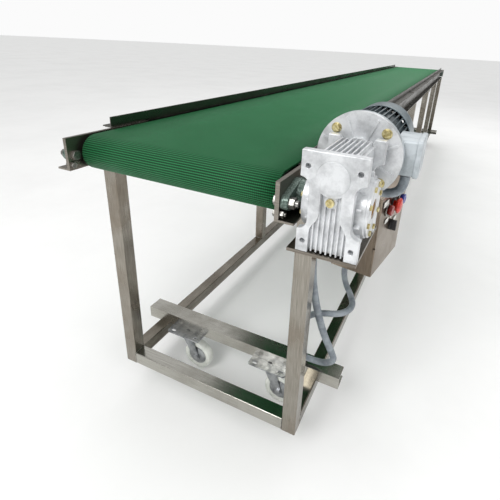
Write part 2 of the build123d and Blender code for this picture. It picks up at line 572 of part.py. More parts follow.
with BuildPart() as gearbox_bracket:
    with BuildSketch(Plane.XY.offset(GEARBOX_BASE - BRACKET_SHEET)):
        with BuildLine():
            Polyline(
                (CHANNEL_OUTER - 8, GEARBOX_FRONT),
                (GEARBOX_X + GEARBOX_WIDTH / 2, GEARBOX_FRONT),
                (GEARBOX_X + GEARBOX_WIDTH / 2, GEARBOX_REAR + 20),
                (CHANNEL_OUTER, GEARBOX_REAR + 20),
                (CHANNEL_OUTER, 0),
                (CHANNEL_OUTER - 8, 0),
                close=True,
            )
        make_face()
        with Locations((GEARBOX_X, GEARBOX_MID_Y)):
            with GridLocations(MOUNT_HOLES[0], GEARBOX_DEPTH - 40, 2, 2):
                Circle(MOUNT_HOLE_RADIUS, mode=Mode.SUBTRACT)
    extrude(amount=BRACKET_SHEET)
gearbox_bracket.part.label = "gearbox_bracket"
export_step(gearbox_bracket.part, "parts/gearbox_bracket.step")

with BuildPart() as gearbox_housing:
    with BuildSketch(Plane.YZ.offset(GEARBOX_X - GEARBOX_BODY_WIDTH / 2)):
        with Locations((GEARBOX_MID_Y, GEARBOX_BASE + GEARBOX_HEIGHT / 2)):
            RectangleRounded(GEARBOX_DEPTH, GEARBOX_HEIGHT - 2, 10.0)
    extrude(amount=GEARBOX_BODY_WIDTH)
    with BuildSketch(Plane.YZ.offset(GEARBOX_X - GEARBOX_WIDTH / 2 + 2)):
        with Locations((DRIVE_Y, AXIS_Z)):
            Circle(BOSS_RADIUS)
    extrude(amount=GEARBOX_WIDTH - 4)
    pad_x = (GEARBOX_WIDTH - FOOT_PAD[0]) / 2
    pad_y = (GEARBOX_DEPTH - PAD_DEPTH) / 2
    with BuildSketch(Plane.XY.offset(GEARBOX_BASE)):
        with Locations((GEARBOX_X, GEARBOX_MID_Y)):
            with GridLocations(2 * pad_x, 2 * pad_y, 2, 2):
                RectangleRounded(FOOT_PAD[0], PAD_DEPTH, 2.0)
    extrude(amount=FOOT_PAD[1])
    with BuildSketch(Plane.XY.offset(GEARBOX_TOP - HEAD_PAD_HEIGHT)):
        with Locations((GEARBOX_X, GEARBOX_MID_Y)):
            with GridLocations(0, 2 * pad_y, 1, 2):
                RectangleRounded(GEARBOX_WIDTH, PAD_DEPTH, 2.0)
    extrude(amount=HEAD_PAD_HEIGHT)
    # cooling grooves on the front, between the feet, and along the top
    with BuildSketch(Plane.XZ.offset(-GEARBOX_FRONT)):
        with Locations((GEARBOX_X, GEARBOX_BASE + 38)):
            with GridLocations(FIN_PITCH, 0, 6, 1):
                Rectangle(FIN_GAP, 84)
    extrude(amount=-6.0, mode=Mode.SUBTRACT)
    with BuildSketch(Plane.XY.offset(GEARBOX_TOP)):
        with Locations((GEARBOX_X, GEARBOX_MID_Y)):
            with GridLocations(FIN_PITCH, 0, 6, 1):
                Rectangle(FIN_GAP, GEARBOX_DEPTH - 2 * PAD_DEPTH + 8)
    extrude(amount=-7.0, mode=Mode.SUBTRACT)
    # gear chamber, output bore, worm bore and the four mounting holes in front
    with BuildSketch(Plane.YZ.offset(GEARBOX_X - GEARBOX_BODY_WIDTH / 2 + BODY_WALL)):
        with Locations((DRIVE_Y, AXIS_Z)):
            Circle(WHEEL_TIP + 3)
    extrude(amount=GEARBOX_BODY_WIDTH - 2 * BODY_WALL, mode=Mode.SUBTRACT)
    with BuildSketch(Plane.YZ.offset(GEARBOX_X - GEARBOX_WIDTH)):
        with Locations((DRIVE_Y, AXIS_Z)):
            Circle(HOLLOW_SHAFT_RADIUS + SHAFT_SLACK)
    extrude(amount=2 * GEARBOX_WIDTH, mode=Mode.SUBTRACT)
    with BuildSketch(Plane.XZ.offset(-GEARBOX_FRONT - 12)):
        with Locations((GEARBOX_X, WORM_Z)):
            Circle(WORM_TIP + 3)
    extrude(amount=-(GEARBOX_DEPTH - 12), mode=Mode.SUBTRACT)
    with BuildSketch(Plane.XZ.offset(-GEARBOX_FRONT)):
        with Locations((GEARBOX_X, MOUNT_MID_Z)):
            with GridLocations(*MOUNT_HOLES, 2, 2):
                Circle(MOUNT_HOLE_RADIUS)
    extrude(amount=-MOUNT_HOLE_DEPTH, mode=Mode.SUBTRACT)
gearbox_housing.part.label = "gearbox_housing"
export_step(gearbox_housing.part, "parts/gearbox_housing.step")

with BuildPart() as gearbox_covers:
    for sign in (-1, 1):
        with BuildSketch(Plane.YZ.offset(GEARBOX_X + sign * (GEARBOX_WIDTH / 2 - 2))):
            with Locations((DRIVE_Y, AXIS_Z)):
                Circle(BOSS_RADIUS - 2)
                Circle(HOLLOW_SHAFT_RADIUS + SHAFT_SLACK, mode=Mode.SUBTRACT)
        extrude(amount=sign * COVER_THICKNESS)
    with BuildSketch(Plane.XZ.offset(-GEARBOX_FRONT)):
        with Locations((GEARBOX_X, WORM_Z)):
            Circle(CAP_RADIUS)
    extrude(amount=1.5)
gearbox_covers.part.label = "gearbox_covers"
export_step(gearbox_covers.part, "parts/gearbox_covers.step")

HUB_LENGTH = GEARBOX_WIDTH + 2 * COVER_THICKNESS - 8
with BuildPart() as worm_wheel:
    with BuildSketch(Plane.YZ.offset(GEARBOX_X - HUB_LENGTH / 2)):
        with Locations((DRIVE_Y, AXIS_Z)):
            Circle(HOLLOW_SHAFT_RADIUS)
            Circle(SHAFT_RADIUS + 0.02, mode=Mode.SUBTRACT)
    extrude(amount=HUB_LENGTH)
    with BuildSketch(Plane.YZ.offset(GEARBOX_X - 14)):
        with Locations((DRIVE_Y, AXIS_Z)):
            Circle(WHEEL_TIP)
            Circle(HOLLOW_SHAFT_RADIUS - 1, mode=Mode.SUBTRACT)
            with PolarLocations(WHEEL_TIP, WHEEL_TEETH):
                Rectangle(9.0, 4.8, mode=Mode.SUBTRACT)
    extrude(amount=28.0)
worm_wheel.part.label = "worm_wheel"
export_step(worm_wheel.part, "parts/worm_wheel.step")

SOCKET_DEPTH = 30.0
WORM_START = GEARBOX_FRONT + 12.5
with BuildPart() as worm_shaft:
    with BuildSketch(Plane.XZ.offset(-WORM_START)):
        with Locations((GEARBOX_X, WORM_Z)):
            Circle(12.0)
    extrude(amount=-(FLANGE_Y - 2 - WORM_START))
    with BuildSketch(Plane.XZ.offset(-(DRIVE_Y - 30))):
        with Locations((GEARBOX_X, WORM_Z)):
            Circle(WORM_TIP)
            Circle(11.0, mode=Mode.SUBTRACT)
    extrude(amount=-60.0)
    for groove in range(6):
        with BuildSketch(Plane.XZ.offset(-(DRIVE_Y - 27.5 + 10 * groove))):
            with Locations((GEARBOX_X, WORM_Z)):
                Circle(WORM_TIP + 1)
                Circle(12.0, mode=Mode.SUBTRACT)
        extrude(amount=-5.0, mode=Mode.SUBTRACT)
    with BuildSketch(Plane.XZ.offset(-(FLANGE_Y - 2))):
        with Locations((GEARBOX_X, WORM_Z)):
            Circle(MOTOR_SHAFT_RADIUS + 0.02)
    extrude(amount=SOCKET_DEPTH, mode=Mode.SUBTRACT)
worm_shaft.part.label = "worm_shaft"
export_step(worm_shaft.part, "parts/worm_shaft.step")

# ---- motor ------------------------------------------------------------------------
NECK_RADIUS = 34.0
RIB_COUNT = 8
with BuildPart() as gearbox_flange:
    with BuildSketch(Plane.XZ.offset(-FLANGE_Y)):
        with Locations((GEARBOX_X, WORM_Z)):
            Circle(FLANGE_RADIUS)
            with PolarLocations(FLANGE_BOLT_CIRCLE / 2, 4, start_angle=45):
                Circle(5.0, mode=Mode.SUBTRACT)
    extrude(amount=FLANGE_THICKNESS)
    with BuildSketch(Plane.XZ.offset(-GEARBOX_REAR)):
        with Locations((GEARBOX_X, WORM_Z)):
            Circle(NECK_RADIUS)
    extrude(amount=-(INPUT_REACH - FLANGE_THICKNESS))
    with BuildSketch(Plane.XZ.offset(-(FLANGE_Y - FLANGE_THICKNESS))):
        with Locations((GEARBOX_X, WORM_Z)):
            with PolarLocations((NECK_RADIUS + FLANGE_RADIUS) / 2 - 4, RIB_COUNT, start_angle=22.5):
                Rectangle(FLANGE_RADIUS - NECK_RADIUS - 4, 4.0)
    extrude(amount=4.0)
    with BuildSketch(Plane.XZ.offset(-FLANGE_Y)):
        with Locations((GEARBOX_X, WORM_Z)):
            Circle(WORM_TIP + 3)
    extrude(amount=INPUT_REACH, mode=Mode.SUBTRACT)
gearbox_flange.part.label = "gearbox_flange"
export_step(gearbox_flange.part, "parts/gearbox_flange.step")

with BuildPart() as motor_flange:
    with BuildSketch(Plane.XZ.offset(-FLANGE_Y)):
        with Locations((GEARBOX_X, WORM_Z)):
            Circle(FLANGE_RADIUS)
            Circle(MOTOR_SHAFT_RADIUS + SHAFT_SLACK, mode=Mode.SUBTRACT)
            with PolarLocations(FLANGE_BOLT_CIRCLE / 2, 4, start_angle=45):
                Circle(5.0, mode=Mode.SUBTRACT)
    extrude(amount=-FLANGE_THICKNESS)
motor_flange.part.label = "motor_flange"
export_step(motor_flange.part, "parts/motor_flange.step")

ROTOR_RADIUS = 34.0
AIR_GAP = 0.5
STATOR_START = FLANGE_Y + FLANGE_THICKNESS
FIN_COUNT = 40
FIN_THICKNESS = 2.4
with BuildPart() as motor_stator:
    with BuildSketch(Plane.XZ.offset(-STATOR_START)):
        with Locations((GEARBOX_X, WORM_Z)):
            Circle(MOTOR_CORE_RADIUS)
            with PolarLocations((MOTOR_CORE_RADIUS + MOTOR_FIN_RADIUS) / 2 - 1, FIN_COUNT):
                Rectangle(MOTOR_FIN_RADIUS - MOTOR_CORE_RADIUS + 2, FIN_THICKNESS)
            Circle(ROTOR_RADIUS + AIR_GAP, mode=Mode.SUBTRACT)
    extrude(amount=-MOTOR_CORE_LENGTH)
    with BuildSketch(Plane.XZ.offset(-(MOTOR_REAR - 10))):
        with Locations((GEARBOX_X, WORM_Z)):
            Circle(ROTOR_RADIUS + AIR_GAP + 1)
            Circle(MOTOR_SHAFT_RADIUS + SHAFT_SLACK, mode=Mode.SUBTRACT)
    extrude(amount=-10.0)
motor_stator.part.label = "motor_stator"
export_step(motor_stator.part, "parts/motor_stator.step")

FAN_START = MOTOR_REAR + 14.0
with BuildPart() as motor_rotor:
    with BuildSketch(Plane.XZ.offset(-(FLANGE_Y - SOCKET_DEPTH))):
        with Locations((GEARBOX_X, WORM_Z)):
            Circle(MOTOR_SHAFT_RADIUS)
    extrude(amount=-(FAN_START + 30 - FLANGE_Y + SOCKET_DEPTH))
    with BuildSketch(Plane.XZ.offset(-(STATOR_START + 6))):
        with Locations((GEARBOX_X, WORM_Z)):
            Circle(ROTOR_RADIUS)
    extrude(amount=-(MOTOR_CORE_LENGTH - 22))
motor_rotor.part.label = "motor_rotor"
export_step(motor_rotor.part, "parts/motor_rotor.step")

with BuildPart() as motor_fan:
    with BuildSketch(Plane.XZ.offset(-FAN_START)):
        with Locations((GEARBOX_X, WORM_Z)):
            Circle(18.0)
    extrude(amount=-26.0)
    with BuildSketch(Plane.XZ.offset(-FAN_START)):
        with Locations((GEARBOX_X, WORM_Z)):
            Circle(58.0)
    extrude(amount=-3.0)
    with BuildSketch(Plane.XZ.offset(-FAN_START)):
        with Locations((GEARBOX_X, WORM_Z)):
            with PolarLocations(37.0, 8):
                Rectangle(42.0, 3.0)
    extrude(amount=-24.0)
    with BuildSketch(Plane.XZ.offset(-FAN_START)):
        with Locations((GEARBOX_X, WORM_Z)):
            Circle(MOTOR_SHAFT_RADIUS + 0.02)
    extrude(amount=-30.0, mode=Mode.SUBTRACT)
motor_fan.part.label = "motor_fan"
export_step(motor_fan.part, "parts/motor_fan.step")

COVER_SHEET = 2.0
with BuildPart() as motor_fan_cover:
    with BuildSketch(Plane.XZ.offset(-(MOTOR_REAR - 8))):
        with Locations((GEARBOX_X, WORM_Z)):
            Circle(FAN_COVER_RADIUS)
    extrude(amount=-FAN_COVER_LENGTH)
    rear_edge = motor_fan_cover.faces().sort_by(Axis.Y)[-1].edges()
    fillet(rear_edge, 10.0)
    with BuildSketch(Plane.XZ.offset(-(MOTOR_REAR - 8))):
        with Locations((GEARBOX_X, WORM_Z)):
            Circle(FAN_COVER_RADIUS - COVER_SHEET)
    extrude(amount=-(FAN_COVER_LENGTH - 11), mode=Mode.SUBTRACT)
    with BuildSketch(Plane.XZ.offset(-(MOTOR_REAR - 8))):
        with Locations((GEARBOX_X, WORM_Z)):
            Circle(FAN_COVER_RADIUS - 11)
    extrude(amount=-(FAN_COVER_LENGTH - COVER_SHEET), mode=Mode.SUBTRACT)
    with BuildSketch(Plane.XZ.offset(-MOTOR_REAR)):
        with Locations((GEARBOX_X, WORM_Z)):
            for radius, holes in ((20.0, 8), (34.0, 14), (48.0, 20)):
                with PolarLocations(radius, holes):
                    Circle(3.6)
    extrude(amount=-FAN_COVER_LENGTH, mode=Mode.SUBTRACT)
motor_fan_cover.part.label = "motor_fan_cover"
export_step(motor_fan_cover.part, "parts/motor_fan_cover.step")

TERMINAL_SIZE = (90.0, 68.0)
TERMINAL_BASE_X = GEARBOX_X + MOTOR_FIN_RADIUS - 8
TERMINAL_DEPTH = 38.0
TERMINAL_LID = 10.0
TERMINAL_Y = STATOR_START + 8 + TERMINAL_SIZE[0] / 2
TERMINAL_LID_X = TERMINAL_BASE_X + TERMINAL_DEPTH
with BuildPart() as terminal_box:
    with BuildSketch(Plane.YZ.offset(GEARBOX_X + MOTOR_CORE_RADIUS - 8)):
        with Locations((TERMINAL_Y, WORM_Z)):
            RectangleRounded(*TERMINAL_SIZE, 6.0)
    extrude(amount=TERMINAL_LID_X - GEARBOX_X - MOTOR_CORE_RADIUS + 8)
    with BuildSketch(Plane.YZ.offset(TERMINAL_LID_X)):
        with Locations((TERMINAL_Y, WORM_Z)):
            RectangleRounded(TERMINAL_SIZE[0] - 8, TERMINAL_SIZE[1] - 8, 3.0)
    extrude(amount=-(TERMINAL_DEPTH - 6), mode=Mode.SUBTRACT)
    with BuildSketch(Plane.XZ.offset(-STATOR_START)):
        with Locations((GEARBOX_X, WORM_Z)):
            Circle(MOTOR_FIN_RADIUS + 0.5)
    extrude(amount=-MOTOR_CORE_LENGTH, mode=Mode.SUBTRACT)
terminal_box.part.label = "terminal_box"
export_step(terminal_box.part, "parts/terminal_box.step")

with BuildPart() as terminal_lid:
    with BuildSketch(Plane.YZ.offset(TERMINAL_LID_X)):
        with Locations((TERMINAL_Y, WORM_Z)):
            RectangleRounded(TERMINAL_SIZE[0] + 4, TERMINAL_SIZE[1] + 4, 7.0)
    extrude(amount=TERMINAL_LID)
    fillet(terminal_lid.faces().sort_by(Axis.X)[-1].edges(), 3.0)
terminal_lid.part.label = "terminal_lid"
export_step(terminal_lid.part, "parts/terminal_lid.step")

# ---- control box ------------------------------------------------------------------
TURN = radians(BOX_TURN)
ALONG = Vector(sin(TURN), cos(TURN), 0)  # along the door, away from the drive end
OUTWARD = Vector(cos(TURN), -sin(TURN), 0)  # the way the door faces
DOOR = Plane(origin=(*BOX_CORNER, BOX_BOTTOM), x_dir=ALONG, z_dir=OUTWARD)
DOOR_BACK = -DOOR_SHEET
DOOR_GAP = 0.5


def on_door(along, height, out=0.0):
    """Point in the row's frame, from its place on the outer face of the door."""
    return Vector(*BOX_CORNER, BOX_BOTTOM + height) + ALONG * along + OUTWARD * out


HINGE_OUT = -DOOR_SHEET / 2
HINGE_ALONG = -2.0
KNUCKLE_RADIUS = 3.0
KNUCKLE_LENGTH = 20.0
KNUCKLE_GAP = 0.3
DOOR_KNUCKLES = (40.0, 170.0)  # lower ends, above the box bottom
BOX_KNUCKLES = tuple(height + KNUCKLE_LENGTH for height in DOOR_KNUCKLES)
with BuildPart() as control_box:
    with BuildSketch(DOOR.offset(DOOR_BACK - DOOR_GAP)):
        with Locations((BOX_WIDTH / 2, BOX_HEIGHT / 2)):
            Rectangle(BOX_WIDTH, BOX_HEIGHT)
    extrude(amount=-BOX_DEPTH)
    with BuildSketch(DOOR.offset(DOOR_BACK - DOOR_GAP)):
        with Locations((BOX_WIDTH / 2, BOX_HEIGHT / 2)):
            Rectangle(BOX_WIDTH - 2 * BOX_SHEET, BOX_HEIGHT - 2 * BOX_SHEET)
    extrude(amount=BOX_SHEET - BOX_DEPTH, mode=Mode.SUBTRACT)
    for height in BOX_KNUCKLES:
        with BuildSketch(Plane(on_door(HINGE_ALONG, height, HINGE_OUT))):
            Circle(KNUCKLE_RADIUS)
        extrude(amount=KNUCKLE_LENGTH)
    for height in DOOR_KNUCKLES:
        with BuildSketch(Plane(on_door(HINGE_ALONG, height - KNUCKLE_GAP, HINGE_OUT))):
            Circle(KNUCKLE_RADIUS + KNUCKLE_GAP)
        extrude(amount=KNUCKLE_LENGTH, mode=Mode.SUBTRACT)
control_box.part.label = "control_box"
export_step(control_box.part, "parts/control_box.step")

BUTTON_BORE = 11.0
BUTTON_STEM = 10.8
with BuildPart() as control_door:
    with BuildSketch(DOOR):
        with Locations((BOX_WIDTH / 2, BOX_HEIGHT / 2)):
            Rectangle(BOX_WIDTH, BOX_HEIGHT)
        with Locations(*((along, TOP_ROW) for along in (STOP_AT, EMERGENCY_AT, START_AT)), (SELECTOR_AT, LOW_ROW)):
            Circle(BUTTON_BORE, mode=Mode.SUBTRACT)
    extrude(amount=-DOOR_SHEET)
    for height in BOX_KNUCKLES:
        with BuildSketch(Plane(on_door(HINGE_ALONG, height - KNUCKLE_GAP, HINGE_OUT))):
            Circle(KNUCKLE_RADIUS + KNUCKLE_GAP)
        extrude(amount=KNUCKLE_LENGTH + 2 * KNUCKLE_GAP, mode=Mode.SUBTRACT)
    for height in DOOR_KNUCKLES:
        with BuildSketch(Plane(on_door(HINGE_ALONG, height, HINGE_OUT))):
            Circle(KNUCKLE_RADIUS)
        extrude(amount=KNUCKLE_LENGTH - KNUCKLE_GAP)
control_door.part.label = "control_door"
export_step(control_door.part, "parts/control_door.step")

BUTTON_TRAVEL = 4.0
BUTTONS = (
    ("stop_button", STOP_AT, 13.0, 9.0),
    ("emergency_stop", EMERGENCY_AT, 20.0, 16.0),
    ("start_button", START_AT, 13.0, 9.0),
)
for name, along, cap_radius, cap_height in BUTTONS:
    with BuildPart() as button:
        with BuildSketch(DOOR.offset(-24)):
            with Locations((along, TOP_ROW)):
                Circle(BUTTON_STEM)
        extrude(amount=24 + BUTTON_TRAVEL + 1)
        with BuildSketch(DOOR.offset(BUTTON_TRAVEL + 1)):
            with Locations((along, TOP_ROW)):
                Circle(cap_radius)
        extrude(amount=cap_height)
        fillet(button.faces().sort_by(Axis(DOOR.origin, DOOR.z_dir))[-1].edges(), 3.0)
    button.part.label = name
    export_step(button.part, f"parts/{name}.step")

with BuildPart() as selector_switch:
    with BuildSketch(DOOR.offset(-24)):
        with Locations((SELECTOR_AT, LOW_ROW)):
            Circle(BUTTON_STEM)
    extrude(amount=24 + 1)
    with BuildSketch(DOOR.offset(1)):
        with Locations((SELECTOR_AT, LOW_ROW)):
            Circle(14.0)
    extrude(amount=5.0)
    with BuildSketch(DOOR.offset(6)):
        with Locations((SELECTOR_AT, LOW_ROW)):
            Rectangle(8.0, 26.0)
    extrude(amount=10.0)
selector_switch.part.label = "selector_switch"
export_step(selector_switch.part, "parts/selector_switch.step")

STRAP_SHEET = 4.0
STRAP_WIDTH = 25.0
with BuildPart() as box_straps:
    for along in (40.0, BOX_WIDTH - 40.0):
        top = on_door(along, BOX_HEIGHT, -(BOX_DEPTH + DOOR_SHEET) / 2)
        inner = Vector(CHANNEL_OUTER - 12, top.Y, 0)
        with BuildSketch(Plane.XY.offset(BOX_BOTTOM + BOX_HEIGHT)):
            with Locations(((inner.X + top.X) / 2, top.Y)):
                Rectangle(top.X - inner.X, STRAP_WIDTH)
        extrude(amount=STRAP_SHEET)
        with BuildSketch(Plane.XY.offset(BOX_BOTTOM + BOX_HEIGHT)):
            with Locations((inner.X + STRAP_SHEET / 2, top.Y)):
                Rectangle(STRAP_SHEET, STRAP_WIDTH)
        extrude(amount=CHANNEL_BOTTOM - BOX_BOTTOM - BOX_HEIGHT)
box_straps.part.label = "box_straps"
export_step(box_straps.part, "parts/box_straps.step")

# ---- conduits -----------------------------------------------------------------------
GLAND_LENGTH = 14.0
CONDUIT_BOTTOM_Z = WORM_Z - TERMINAL_SIZE[1] / 2 - GLAND_LENGTH
CONDUIT_X = TERMINAL_LID_X - 16.0
CONDUIT_Y = TERMINAL_Y + 12.0
WEB_ENTRY = (CHANNEL_WEB_INNER + CHANNEL_SHEET + GLAND_LENGTH, 141.0, AXIS_Z - 12.0)
MOTOR_CONDUIT_POINTS = (
    (CONDUIT_X, CONDUIT_Y, CONDUIT_BOTTOM_Z),
    (CONDUIT_X, CONDUIT_Y, CONDUIT_BOTTOM_Z - 26),
    (CONDUIT_X - 18, CONDUIT_Y + 7, CONDUIT_BOTTOM_Z - 46),
    (CONDUIT_X - 50, CONDUIT_Y + 16, CONDUIT_BOTTOM_Z - 51),
    (CONDUIT_X - 86, CONDUIT_Y + 22, CONDUIT_BOTTOM_Z - 42),
    (WEB_ENTRY[0] + 32, WEB_ENTRY[1], WEB_ENTRY[2]),
    WEB_ENTRY,
)
LOOP_POINTS = (
    (303.0, 232.0, BOX_BOTTOM - GLAND_LENGTH),
    (303.0, 232.0, 458.0),
    (315.0, 226.0, 431.0),
    (335.0, 208.0, 416.0),
    (348.0, 180.0, 411.0),
    (343.0, 149.0, 410.0),
    (322.0, 127.0, 409.0),
    (288.0, 113.0, 410.0),
    (268.0, 98.0, 410.0),
    (256.0, 77.0, 410.0),
    (256.0, TUBE + GLAND_LENGTH, 410.0),
)
SUPPLY_POINTS = (
    (266.0, 62.0, CHANNEL_BOTTOM - GLAND_LENGTH),
    (266.0, 62.0, 690.0),
    (264.0, 62.0, 636.0),
    (265.0, 61.0, 578.0),
    (271.0, 63.0, 520.0),
    (281.0, 70.0, 462.0),
    (292.0, 84.0, 404.0),
    (303.0, 102.0, 350.0),
    (313.0, 117.0, 312.0),
    (320.0, 136.0, 273.0),
    (324.0, 152.0, 240.0),
    (308.0, 164.0, 210.0),
    (277.0, 172.0, 192.0),
    (241.0, 172.0, 192.0),
)


def bend_radii(points):
    """Radius of the tangent arc at each inner point: 0.45 of the shorter run over tan of half the turn."""
    radii = []
    for before, here, after in zip(points, points[1:], points[2:]):
        run_in = Vector(*here) - Vector(*before)
        run_out = Vector(*after) - Vector(*here)
        turn = radians(run_in.get_angle(run_out))
        radii.append(0.45 * min(run_in.length, run_out.length) / tan(turn / 2))
    return radii


for name, points, radius in (
    ("motor_conduit", MOTOR_CONDUIT_POINTS, CONDUIT_RADIUS),
    ("control_hose", LOOP_POINTS, LOOP_RADIUS),
    ("supply_hose", SUPPLY_POINTS, HOSE_RADIUS),
):
    radii = bend_radii(points)
    start_way = Vector(*points[1]) - Vector(*points[0])
    with BuildPart() as hose:
        with BuildLine() as route:
            FilletPolyline(*points, radius=radii)
        with BuildSketch(Plane(origin=points[0], z_dir=start_way)):
            Circle(radius)
        sweep()
    length = sum(edge.length for edge in route.edges())
    ideal = pi * radius**2 * length
    print(name, "length", round(length, 1), "volume ratio", round(hose.part.volume / ideal, 5))
    print(name, "radii in diameters", [round(r / radius / 2, 1) for r in radii])
    hose.part.label = name
    export_step(hose.part, f"parts/{name}.step")

FITTING_HEIGHT = 28.0
FITTING_SIZE = (24.0, 26.0)
SUPPLY_START = SUPPLY_POINTS[0]
SUPPLY_END = SUPPLY_POINTS[-1]
LOOP_START = LOOP_POINTS[0]
LOOP_END = LOOP_POINTS[-1]
with BuildPart() as cable_glands:
    with BuildSketch(Plane.XY.offset(CONDUIT_BOTTOM_Z)):
        with Locations((CONDUIT_X, CONDUIT_Y)):
            RegularPolygon(CONDUIT_RADIUS + 4, 6)
    extrude(amount=GLAND_LENGTH)
    with BuildSketch(Plane.YZ.offset(WEB_ENTRY[0])):
        with Locations(WEB_ENTRY[1:]):
            RegularPolygon(CONDUIT_RADIUS + 4, 6)
    extrude(amount=-GLAND_LENGTH)
    with BuildSketch(Plane.XY.offset(LOOP_START[2])):
        with Locations(LOOP_START[:2]):
            RegularPolygon(LOOP_RADIUS + 3, 6)
    extrude(amount=GLAND_LENGTH)
    with BuildSketch(Plane.XY.offset(SUPPLY_START[2])):
        with Locations(SUPPLY_START[:2]):
            RegularPolygon(HOSE_RADIUS + 3, 6)
    extrude(amount=GLAND_LENGTH)
    with BuildSketch(Plane.XZ.offset(-TUBE)):
        with Locations((LOOP_END[0], LOOP_END[2])):
            RegularPolygon(LOOP_RADIUS + 3, 6)
    extrude(amount=-GLAND_LENGTH)
    with BuildSketch(Plane.XY.offset(BAR_TOP)):
        with Locations((SUPPLY_END[0] - GLAND_LENGTH - FITTING_SIZE[0] / 2, SUPPLY_END[1])):
            RectangleRounded(*FITTING_SIZE, 4.0)
    extrude(amount=FITTING_HEIGHT)
    with BuildSketch(Plane.YZ.offset(SUPPLY_END[0])):
        with Locations(SUPPLY_END[1:]):
            Circle(HOSE_RADIUS + 2.5)
    extrude(amount=-GLAND_LENGTH)
cable_glands.part.label = "cable_glands"
export_step(cable_glands.part, "parts/cable_glands.step")

# ---- fasteners ------------------------------------------------------------------------
HEAD_HEIGHT = 7.5
NUT_SLACK = 0.1
with BuildPart() as frame_fasteners:
    for side, sign in SIDES:
        unit_face = sign * (PLATE_OUTER + UNIT_THICKNESS)
        for y in (DRIVE_Y - UNIT_BOLT_SPACING / 2, DRIVE_Y + UNIT_BOLT_SPACING / 2):
            with BuildSketch(Plane.YZ.offset(sign * PLATE_INNER)):
                with Locations((y, AXIS_Z)):
                    RegularPolygon(10.5, 6)
            extrude(amount=-sign * HEAD_HEIGHT)
            with BuildSketch(Plane.YZ.offset(sign * PLATE_INNER)):
                with Locations((y, AXIS_Z)):
                    Circle(UNIT_BOLT_RADIUS)
            extrude(amount=sign * (PLATE_THICKNESS + UNIT_THICKNESS + 16))
            with BuildSketch(Plane.YZ.offset(unit_face)):
                with Locations((y, AXIS_Z)):
                    RegularPolygon(10.5, 6)
                    Circle(UNIT_BOLT_RADIUS + NUT_SLACK, mode=Mode.SUBTRACT)
            extrude(amount=sign * 10.0)
        small_bolts = [(FOOT_BOLT_Y, FOOT_BOLT_Z, 0.0)]
        for y in PLATE_BOLTS_Y:
            small_bolts.append((y, CHANNEL_MID_Z, CHANNEL_SHEET))
            small_bolts.append((STAND_LENGTH - y, CHANNEL_MID_Z, CHANNEL_SHEET))
        for y, z, web in small_bolts:
            with BuildSketch(Plane.YZ.offset(sign * PLATE_INNER)):
                with Locations((y, z)):
                    RegularPolygon(7.2, 6)
            extrude(amount=-sign * 5.3)
            with BuildSketch(Plane.YZ.offset(sign * PLATE_INNER)):
                with Locations((y, z)):
                    Circle(PLATE_BOLT_RADIUS)
            extrude(amount=sign * (PLATE_THICKNESS + web + 10))
            with BuildSketch(Plane.YZ.offset(sign * (PLATE_OUTER + web))):
                with Locations((y, z)):
                    RegularPolygon(7.2, 6)
                    Circle(PLATE_BOLT_RADIUS + NUT_SLACK, mode=Mode.SUBTRACT)
            extrude(amount=sign * 6.5)
        with BuildSketch(Plane.XZ.offset(-(STAND_LENGTH + PLATE_END))):
            with Locations((sign * TAB_X, AXIS_Z)):
                RegularPolygon(9.5, 6)
                Circle(TAKE_UP_SCREW_RADIUS + 0.2, mode=Mode.SUBTRACT)
        extrude(amount=-8.0)
    for x, y, trail in castor_places():
        inward = 1 if y < CENTRE_Y else -1
        for dx in (-CASTOR_BOLTS[0] / 2, CASTOR_BOLTS[0] / 2):
            bolt = (x + dx, y + inward * CASTOR_BOLTS[1] / 2)
            with BuildSketch(Plane.XY.offset(RAIL_TOP - CASTOR_PLATE_THICKNESS)):
                with Locations(bolt):
                    RegularPolygon(7.2, 6)
            extrude(amount=-5.3)
            with BuildSketch(Plane.XY.offset(RAIL_TOP - CASTOR_PLATE_THICKNESS)):
                with Locations(bolt):
                    Circle(PLATE_BOLT_RADIUS)
            extrude(amount=CASTOR_PLATE_THICKNESS + BAR_SHEET + 10)
            with BuildSketch(Plane.XY.offset(RAIL_TOP + BAR_SHEET)):
                with Locations(bolt):
                    RegularPolygon(7.2, 6)
                    Circle(PLATE_BOLT_RADIUS + NUT_SLACK, mode=Mode.SUBTRACT)
            extrude(amount=6.5)
frame_fasteners.part.label = "frame_fasteners"
export_step(frame_fasteners.part, "parts/frame_fasteners.step")

COVER_BOLT_CIRCLE = 84.0
with BuildPart() as gearbox_fasteners:
    for sign in (-1, 1):
        cover_face = GEARBOX_X + sign * (GEARBOX_WIDTH / 2 - 2 + COVER_THICKNESS)
        with BuildSketch(Plane.YZ.offset(cover_face)):
            with Locations((DRIVE_Y, AXIS_Z)):
                with PolarLocations(COVER_BOLT_CIRCLE / 2, 8, start_angle=22.5):
                    RegularPolygon(5.0, 6)
        extrude(amount=sign * 3.5)
    with BuildSketch(Plane.XZ.offset(-(FLANGE_Y - FLANGE_THICKNESS))):
        with Locations((GEARBOX_X, WORM_Z)):
            with PolarLocations(FLANGE_BOLT_CIRCLE / 2, 4, start_angle=45):
                RegularPolygon(7.5, 6)
    extrude(amount=5.5)
    with BuildSketch(Plane.XZ.offset(-(FLANGE_Y - FLANGE_THICKNESS))):
        with Locations((GEARBOX_X, WORM_Z)):
            with PolarLocations(FLANGE_BOLT_CIRCLE / 2, 4, start_angle=45):
                Circle(4.0)
    extrude(amount=-2 * FLANGE_THICKNESS)
    with BuildSketch(Plane.XZ.offset(-GEARBOX_FRONT)):
        with Locations((GEARBOX_X, GEARBOX_BASE + PLUG_HEIGHT)):
            Circle(7.0)
    extrude(amount=4.0)
gearbox_fasteners.part.label = "gearbox_fasteners"
export_step(gearbox_fasteners.part, "parts/gearbox_fasteners.step")
